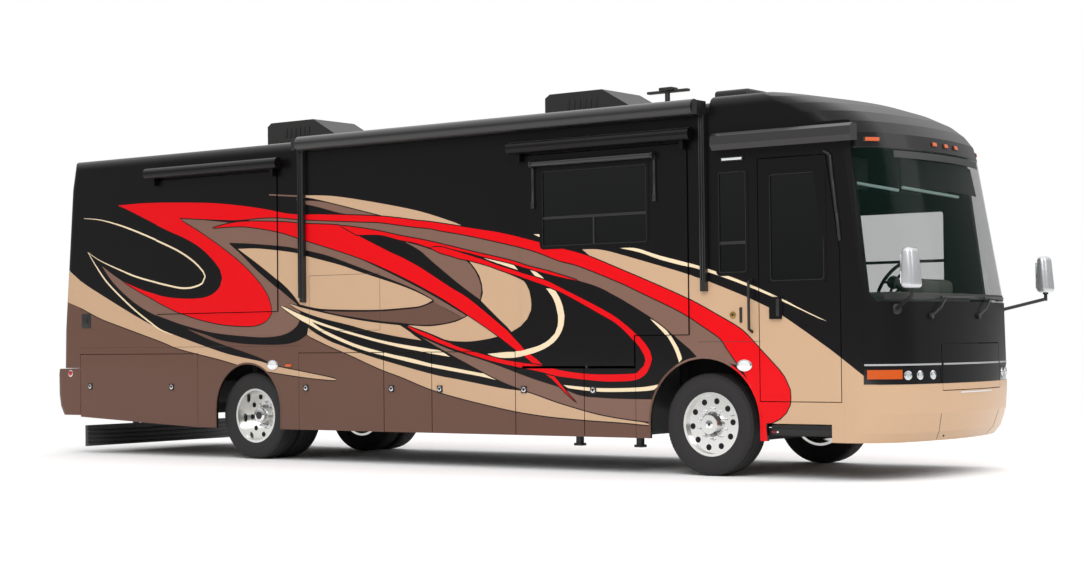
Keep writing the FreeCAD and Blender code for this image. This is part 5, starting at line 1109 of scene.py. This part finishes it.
mirror_pieces = [piece for side, sign in SIDES for piece in make_mirror(side, sign)]
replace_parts(joined("mirror_assembly", mirror_pieces), "mirrors")

# Entry door and step, with handle, lock, lamps and rain trim

flat_slab("door_handle_pan", "entry_door", (4.227, 4.349, 1.468, 1.662), -1, WALL, 0.012, BLACK_PLASTIC,
          0.006)
flat_slab("door_handle_grip", "entry_door", (4.300, 4.336, 1.485, 1.645), -1, WALL, 0.034, BLACK_PLASTIC,
          0.006)
flat_slab("door_handle_plate", "entry_door", (4.243, 4.286, 1.500, 1.560), -1, WALL, 0.016, CHROME, 0.003)
rod("door_lock", "coach", (3.828, -1.271, 1.504), (3.828, -1.283, 1.504), 0.032, BRASS, 0.003, 32)
rod("door_lock_core", "coach", (3.828, -1.280, 1.504), (3.828, -1.2855, 1.504), 0.011, DARK_IRON, 0.001)
flat_slab("door_slot", "coach", (3.901, 3.928, 1.432, 1.574), -1, WALL, 0.010, BLACK_PLASTIC, 0.004)
flat_slab("porch_lamp_base", "coach", (3.720, 3.965, 2.930, 2.972), -1, WALL, 0.014, BLACK_PLASTIC, 0.004)
flat_slab("porch_lamp", "coach", (3.735, 3.950, 2.940, 2.962), -1, WALL, 0.020, LAMP_GLOW, 0.004)
trim = ((4.800, 2.968), (4.862, 2.925), (4.885, 2.700), (4.922, 2.400), (4.950, 2.150))
joined("door_rain_trim", [
    rod(f"door_rain_trim_{k}", "coach", (x0, -1.280, z0), (x1, -1.280, z1), 0.016, BLACK_PLASTIC, bevel=0.004)
    for k, ((x0, z0), (x1, z1)) in enumerate(zip(trim, trim[1:]))])
STEP_FACE = 1.233
for k, (x, material) in enumerate(((4.200, LAMP_RED), (4.222, LAMP_RED), (4.253, LAMP_GLOW))):
    flat_slab(f"step_lamp_{k}", "entry_step", (x, x + 0.018, 0.421, 0.436), -1, STEP_FACE, 0.004, material,
              0.001)
for k, level in enumerate((0.395, 0.455)):
    flat_slab(f"step_rib_{k}", "entry_step", (4.160, 4.800, level, level + 0.012), -1, STEP_FACE, 0.003,
              RUBBER, 0.002)

# Lips of the wheel arches


def arch_lip(name, axle, level, radius, low, sign, materials):
    """A rolled edge round a wheel arch, in pieces of the colours given from the rear to the front."""
    turns = 24
    ends = [(axle - radius, low)]
    ends += [(axle - radius * math.cos(math.pi * k / turns), level + radius * math.sin(math.pi * k / turns))
             for k in range(turns + 1)]
    ends.append((axle + radius, low))
    spans = list(zip(ends, ends[1:]))
    share = len(spans) / len(materials)
    for k, material in enumerate(materials):
        chosen = spans[round(k * share):round((k + 1) * share)]
        joined(f"{name}_{k}", [
            rod(f"{name}_{k}_{j}", "coach", (x0, sign * (WALL - 0.003), z0), (x1, sign * (WALL - 0.003), z1),
                0.011, material, bevel=0.001, sides=12)
            for j, ((x0, z0), (x1, z1)) in enumerate(chosen)])


for side, sign in SIDES:
    arch_lip(f"{side}_front_lip", FRONT_AXLE, 0.500, 0.612, 0.350, sign,
             (PAINTS["brown"], PAINTS["taupe"], PAINTS["red"]))
    arch_lip(f"{side}_rear_lip", REAR_AXLE, 0.560, 0.510, 0.350, sign, (PAINTS["brown"],))

# Panel joints and latches


def joint_line(name, rect, sign=-1):
    """A bead of sealant, just proud of a side panel."""
    flat_slab(name, "coach", rect, sign, WALL, 0.0012, JOINT, 0.0003, 0.002)


BELT = (1.256, 1.260)
joint_line("front_belt_joint", (3.440, 4.120, *BELT))
joint_line("right_belt_joint", (-5.290, -1.660, *BELT))
joint_line("left_belt_joint", (-5.290, -3.330, *BELT), 1)
for k, rect in enumerate((
        (-1.533, -1.529, 1.418, 2.018), (-0.512, -0.508, 1.418, 2.018),
        (-1.533, -0.508, 1.416, 1.420), (-1.533, -0.508, 2.016, 2.020))):
    joint_line(f"side_panel_joint_{k}", rect)


def latch_places(name, level):
    """Middles of a CAD door's latch faces, which stand out to a level."""
    data = NODES[name].data
    return [face.center.copy() for face in data.polygons if abs(abs(face.center.y) - level) < 0.0005
            and abs(face.normal.y) > 0.9]


LATCH_FACE = 1.281
for name in DOORS:
    faces = latch_places(name, LATCH_FACE)
    starts = [faces[0]]
    starts += [spot for spot in faces[1:] if abs(spot.x - faces[0].x) > 0.5][:1]
    for k, first in enumerate(starts):
        near = [spot for spot in faces if abs(spot.x - first.x) < 0.1]
        middle = sum(near, Vector()) / len(near)
        sign = 1 if middle.y > 0 else -1
        start = Vector((middle.x, sign * 1.280, middle.z))
        slab(f"{name}_latch_plate_{k}", name, start - Vector((0.036, 0.003, 0.036)),
             start + Vector((0.036, 0.003, 0.036)), BLACK_PLASTIC, 0.002)
        rod(f"{name}_latch_ring_{k}", name, start, start + Vector((0, sign * 0.008, 0)), 0.026, CHROME, 0.002,
            32)
        rod(f"{name}_latch_core_{k}", name, start, start + Vector((0, sign * 0.011, 0)), 0.015, BLACK_PLASTIC,
            0.003)

# Awnings and window covers


def window_cover(name, body, span, level, face, sign, arm_low):
    """A rolled cover over a window on two flat arms."""
    axis = face + 0.040
    rod(f"{name}_roll", body, (span[0], sign * axis, level), (span[1], sign * axis, level), 0.030,
        AWNING_BLACK, 0.004, 32)
    for k, x in enumerate(span):
        rod(f"{name}_cap_{k}", body, (x - 0.012, sign * axis, level), (x + 0.012, sign * axis, level), 0.036,
            BLACK_PLASTIC, 0.004, 32)
        flat_slab(f"{name}_arm_{k}", body, (x - 0.014, x + 0.014, arm_low, level), sign, face, 0.018,
                  AWNING_BLACK, 0.004)
        flat_slab(f"{name}_foot_{k}", body, (x - 0.020, x + 0.020, arm_low - 0.04, arm_low + 0.03), sign,
                  face, 0.024, BLACK_PLASTIC, 0.004)


window_cover("right_window_cover", "right_front_slide", (1.545, 2.990), 3.040, SLIDE_FACE, -1, 2.640)
for k, (x, low) in enumerate(((3.500, 1.790), (-1.655, 1.740))):
    for j, shift in enumerate((0.008, 0.034)):
        slab(f"awning_arm_strip_{k}_{j}", "coach", (x + shift, -1.330, low + 0.04),
             (x + shift + 0.010, -1.316, 3.40), AWNING_BLACK, 0.002)

# Roof units, antenna and vent

unit_ends = [vertex.co.x for vertex in NODES["roof_air_units"].data.vertices]
for k, front in enumerate((max(unit_ends), max(x for x in unit_ends if x < 0))):
    ribs = []
    for j in range(6):
        x = front - 0.50 - 0.070 * j
        for sign in (-1, 1):
            ribs.append(slab(f"ac_{k}_rib_{j}_{sign}", "coach", (x - 0.018, sign * 0.352 - 0.004, 3.68),
                             (x + 0.018, sign * 0.352 + 0.004, 3.79), RUBBER, 0.002))
    joined(f"ac_{k}_grille", ribs)
rod("antenna_mast", "coach", (2.700, -0.60, 3.58), (2.700, -0.60, 3.735), 0.026, BLACK_PLASTIC, 0.004)
slab("antenna_bar", "coach", (2.470, -0.630, 3.722), (2.950, -0.570, 3.750), BLACK_PLASTIC, 0.010, 3)
slab("antenna_head", "coach", (2.630, -0.66, 3.742), (2.790, -0.54, 3.776), BLACK_PLASTIC, 0.012, 3)
slab("roof_vent", "coach", (3.05, -0.30, 3.62), (3.45, 0.10, 3.74), BLACK_PLASTIC, 0.03, 4)

# Feet under the skirt, the tow eye and the ribs of the rear guard

SKIRT_FOOT_Y = 1.14
for side, sign in SIDES:
    for k, x in enumerate((1.975, 2.690)):
        slab(f"{side}_skirt_foot_{k}", "coach", (x - 0.030, sign * SKIRT_FOOT_Y - 0.030, 0.262),
             (x + 0.030, sign * SKIRT_FOOT_Y + 0.030, 0.420), BLACK_PLASTIC, 0.006)
        slab(f"{side}_skirt_foot_plate_{k}", "coach", (x - 0.048, sign * SKIRT_FOOT_Y - 0.040, 0.250),
             (x + 0.048, sign * SKIRT_FOOT_Y + 0.040, 0.276), BLACK_PLASTIC, 0.004)
rod("tow_eye", "coach", (5.42, -0.46, 0.400), (5.54, -0.46, 0.392), 0.014, DARK_IRON, 0.003)

spots = [vertex.co for vertex in NODES["rear_guard"].data.vertices]
guard_face = max(spot.x for spot in spots)
guard_half = max(spot.y for spot in spots)
guard_low = min(spot.z for spot in spots)
for k in range(4):
    level = guard_low + 0.022 + 0.052 * k
    rod(f"guard_rib_{k}", "coach", (guard_face, -guard_half + 0.004, level),
        (guard_face, guard_half - 0.004, level), 0.016, GUARD, 0.005, 20)

# Liners inside the wheel arches: real liners whose near-black colour is painted shade of the wells

LINER_Y = 0.545
for side, sign in SIDES:
    for name, axle, reach, low in (("front", FRONT_AXLE, 0.640, 0.560), ("rear", REAR_AXLE, 0.540, 0.620)):
        # Each liner is a near-black sheet: painted shade of the wheel well
        slab(f"{side}_{name}_liner_painted_shade", "coach", (axle - reach, sign * LINER_Y - 0.003, low),
             (axle + reach, sign * LINER_Y + 0.003, 1.160), ROLLER_CLOTH_AND_WELL_SHADE, 0.001)

# Left side fittings

flat_slab("left_fuel_flap", "coach", (2.905, 3.075, 1.420, 1.590), 1, WALL, 0.003, BODY_BLACK, 0.002)
rod("left_fuel_lock", "coach", (3.050, 1.277, 1.505), (3.050, 1.285, 1.505), 0.009, CHROME, 0.001)
for k, x in enumerate((-3.300, -3.120)):
    rod(f"left_heater_vent_{k}", "coach", (x, 1.272, 1.420), (x, 1.292, 1.420), 0.045, CHROME, 0.006, 32)
    # The bore is a near-black disc inside the chrome ring: painted shade of the vent's opening
    rod(f"left_heater_bore_{k}", "coach", (x, 1.285, 1.420), (x, 1.2925, 1.420), 0.032, HOLE_SHADE, 0.001, 32)

# Rear end

TAIL_REACH = 1.25


def tail_piece(name, body, target, across, half, levels, proud, material, thick=0.012):
    """A small plate on the rear end: its middle, its half width and its heights are in metres."""
    middle = math.degrees(math.atan2(across, TAIL_REACH))
    spread = math.degrees(half / TAIL_REACH) * math.cos(math.radians(middle)) ** 2
    return wrapped(name, body, target, (middle - spread, middle + spread), levels, proud, material,
                   hub=TAIL_HUB, way=-1, steps=8, thick=thick)


for k, across in enumerate((-0.95, -0.22, 0.0, 0.22, 0.95)):
    tail_piece(f"tail_top_base_{k}", "coach", "rear_cap", across, 0.060, (3.205, 3.250), 0.004, BLACK_PLASTIC)
    tail_piece(f"tail_top_lamp_{k}", "coach", "rear_cap", across, 0.048, (3.211, 3.244), 0.012, LAMP_RED)
tail_piece("tail_brake_lamp", "coach", "rear_cap", 0.0, 0.190, (3.060, 3.096), 0.008, LAMP_RED)
tail_piece("tail_camera_hood", "coach", "rear_cap", 0.0, 0.060, (2.930, 3.000), 0.022, BLACK_PLASTIC, 0.026)
tail_piece("tail_camera_lens", "coach", "rear_cap", 0.0, 0.020, (2.945, 2.975), 0.0255, TINTED)
for k in range(7):
    level = 1.62 + 0.050 * k
    tail_piece(f"engine_louvre_{k}", "engine_door", "engine_door", 0.0, 0.360, (level, level + 0.020), 0.010,
               BLACK_PLASTIC, 0.016)
tail_piece("plate_panel", "engine_door", "engine_door", 0.0, 0.180, (1.270, 1.440), 0.004, PLATE_PANEL)
for k, across in enumerate((-0.10, 0.10)):
    tail_piece(f"plate_lamp_{k}", "engine_door", "engine_door", across, 0.030, (1.452, 1.472), 0.014,
               LAMP_GLOW)
for side, sign in SIDES:
    tail_piece(f"{side}_tail_reflector", "coach", "rear_bumper", sign * 0.80, 0.060, (0.720, 0.765), 0.006,
               LAMP_RED)
    tail_piece(f"{side}_reversing_lens", "coach", "tail_lamps", sign * 1.060, 0.036, (1.215, 1.275), 0.004,
               LAMP_GLOW)

# Camera, light and ground

CAMERA_PLACE = (13.33072, -16.99279, 1.28555)
CAMERA_TURN = (36.67142, 1.47133, -0.63032)
CAMERA_LENS = 65.600


def make_camera():
    """The photo's camera: its bearing, pitch and roll are in degrees."""
    azimuth, pitch, roll = (math.radians(a) for a in CAMERA_TURN)
    ahead = Vector((-math.sin(azimuth) * math.cos(pitch), math.cos(azimuth) * math.cos(pitch),
                    math.sin(pitch)))
    across = Vector((math.cos(azimuth), math.sin(azimuth), 0))
    above = across.cross(ahead)
    right = across * math.cos(roll) + above * math.sin(roll)
    up = above * math.cos(roll) - across * math.sin(roll)
    camera = bpy.data.objects.new("camera", bpy.data.cameras.new("camera"))
    bpy.context.scene.collection.objects.link(camera)
    rows = [(right[i], up[i], -ahead[i], CAMERA_PLACE[i]) for i in range(3)]
    camera.matrix_world = Matrix((*rows, (0, 0, 0, 1)))
    camera.data.sensor_width = 36
    camera.data.lens = CAMERA_LENS
    camera.data.clip_end = 200
    bpy.context.scene.camera = camera


def soft_light(name, place, target, size, power):
    light = bpy.data.lights.new(name, "AREA")
    light.shape = "RECTANGLE"
    light.size, light.size_y = size
    light.energy = power
    lamp = bpy.data.objects.new(name, light)
    bpy.context.scene.collection.objects.link(lamp)
    lamp.location = place
    lamp.rotation_mode = "QUATERNION"
    lamp.rotation_quaternion = (Vector(target) - Vector(place)).to_track_quat("-Z", "Y")


def floor_finish():
    """Matt pale floor that fades to plain white far from the object."""
    material = surface("studio_floor_matt", "#fafafa", 0.9)
    tree = material.node_tree
    place = node(tree, "ShaderNodeTexCoord")
    distance = node(tree, "ShaderNodeVectorMath", place.outputs["Object"], operation="LENGTH")
    fade = node(tree, "ShaderNodeMapRange", Value=distance.outputs["Value"], From_Min=7.0, From_Max=13.0)
    plain = node(tree, "ShaderNodeEmission")
    mixed = node(tree, "ShaderNodeMixShader", fade.outputs["Result"],
                 tree.nodes["Principled BSDF"].outputs[0], plain.outputs[0])
    tree.links.new(mixed.outputs[0], tree.nodes["Material Output"].inputs["Surface"])
    return material


def make_studio():
    """A pale floor under a plain white surround, lit by large soft lamps."""
    deselect()
    bpy.ops.mesh.primitive_plane_add(size=160, location=(0, 0, 0))
    floor = named("studio_floor")
    floor.data.materials.append(floor_finish())
    world = bpy.data.worlds.new("studio")
    bpy.context.scene.world = world
    world.use_nodes = True
    tree = world.node_tree
    tree.nodes.clear()
    facing = node(tree, "ShaderNodeTexCoord")
    split = node(tree, "ShaderNodeSeparateXYZ", facing.outputs["Generated"])
    rise = node(tree, "ShaderNodeMapRange", Value=split.outputs["Z"], From_Min=0.0, From_Max=0.75,
                To_Min=0.16, To_Max=1.55)
    lit = node(tree, "ShaderNodeBackground", Color=rise.outputs["Result"], Strength=1.0)
    white = node(tree, "ShaderNodeBackground", Color=(1, 1, 1, 1), Strength=1.0)
    path = node(tree, "ShaderNodeLightPath")
    mixed = node(tree, "ShaderNodeMixShader", path.outputs["Is Camera Ray"], lit.outputs[0], white.outputs[0])
    node(tree, "ShaderNodeOutputWorld", mixed.outputs[0])
    soft_light("key_light", (9, -13, 11), (0, 0, 1.2), (9, 9), 900)
    soft_light("fill_light", (16, 6, 8), (3, 0, 1.5), (8, 8), 350)
    bpy.context.scene.view_settings.view_transform = "Standard"


make_camera()
make_studio()
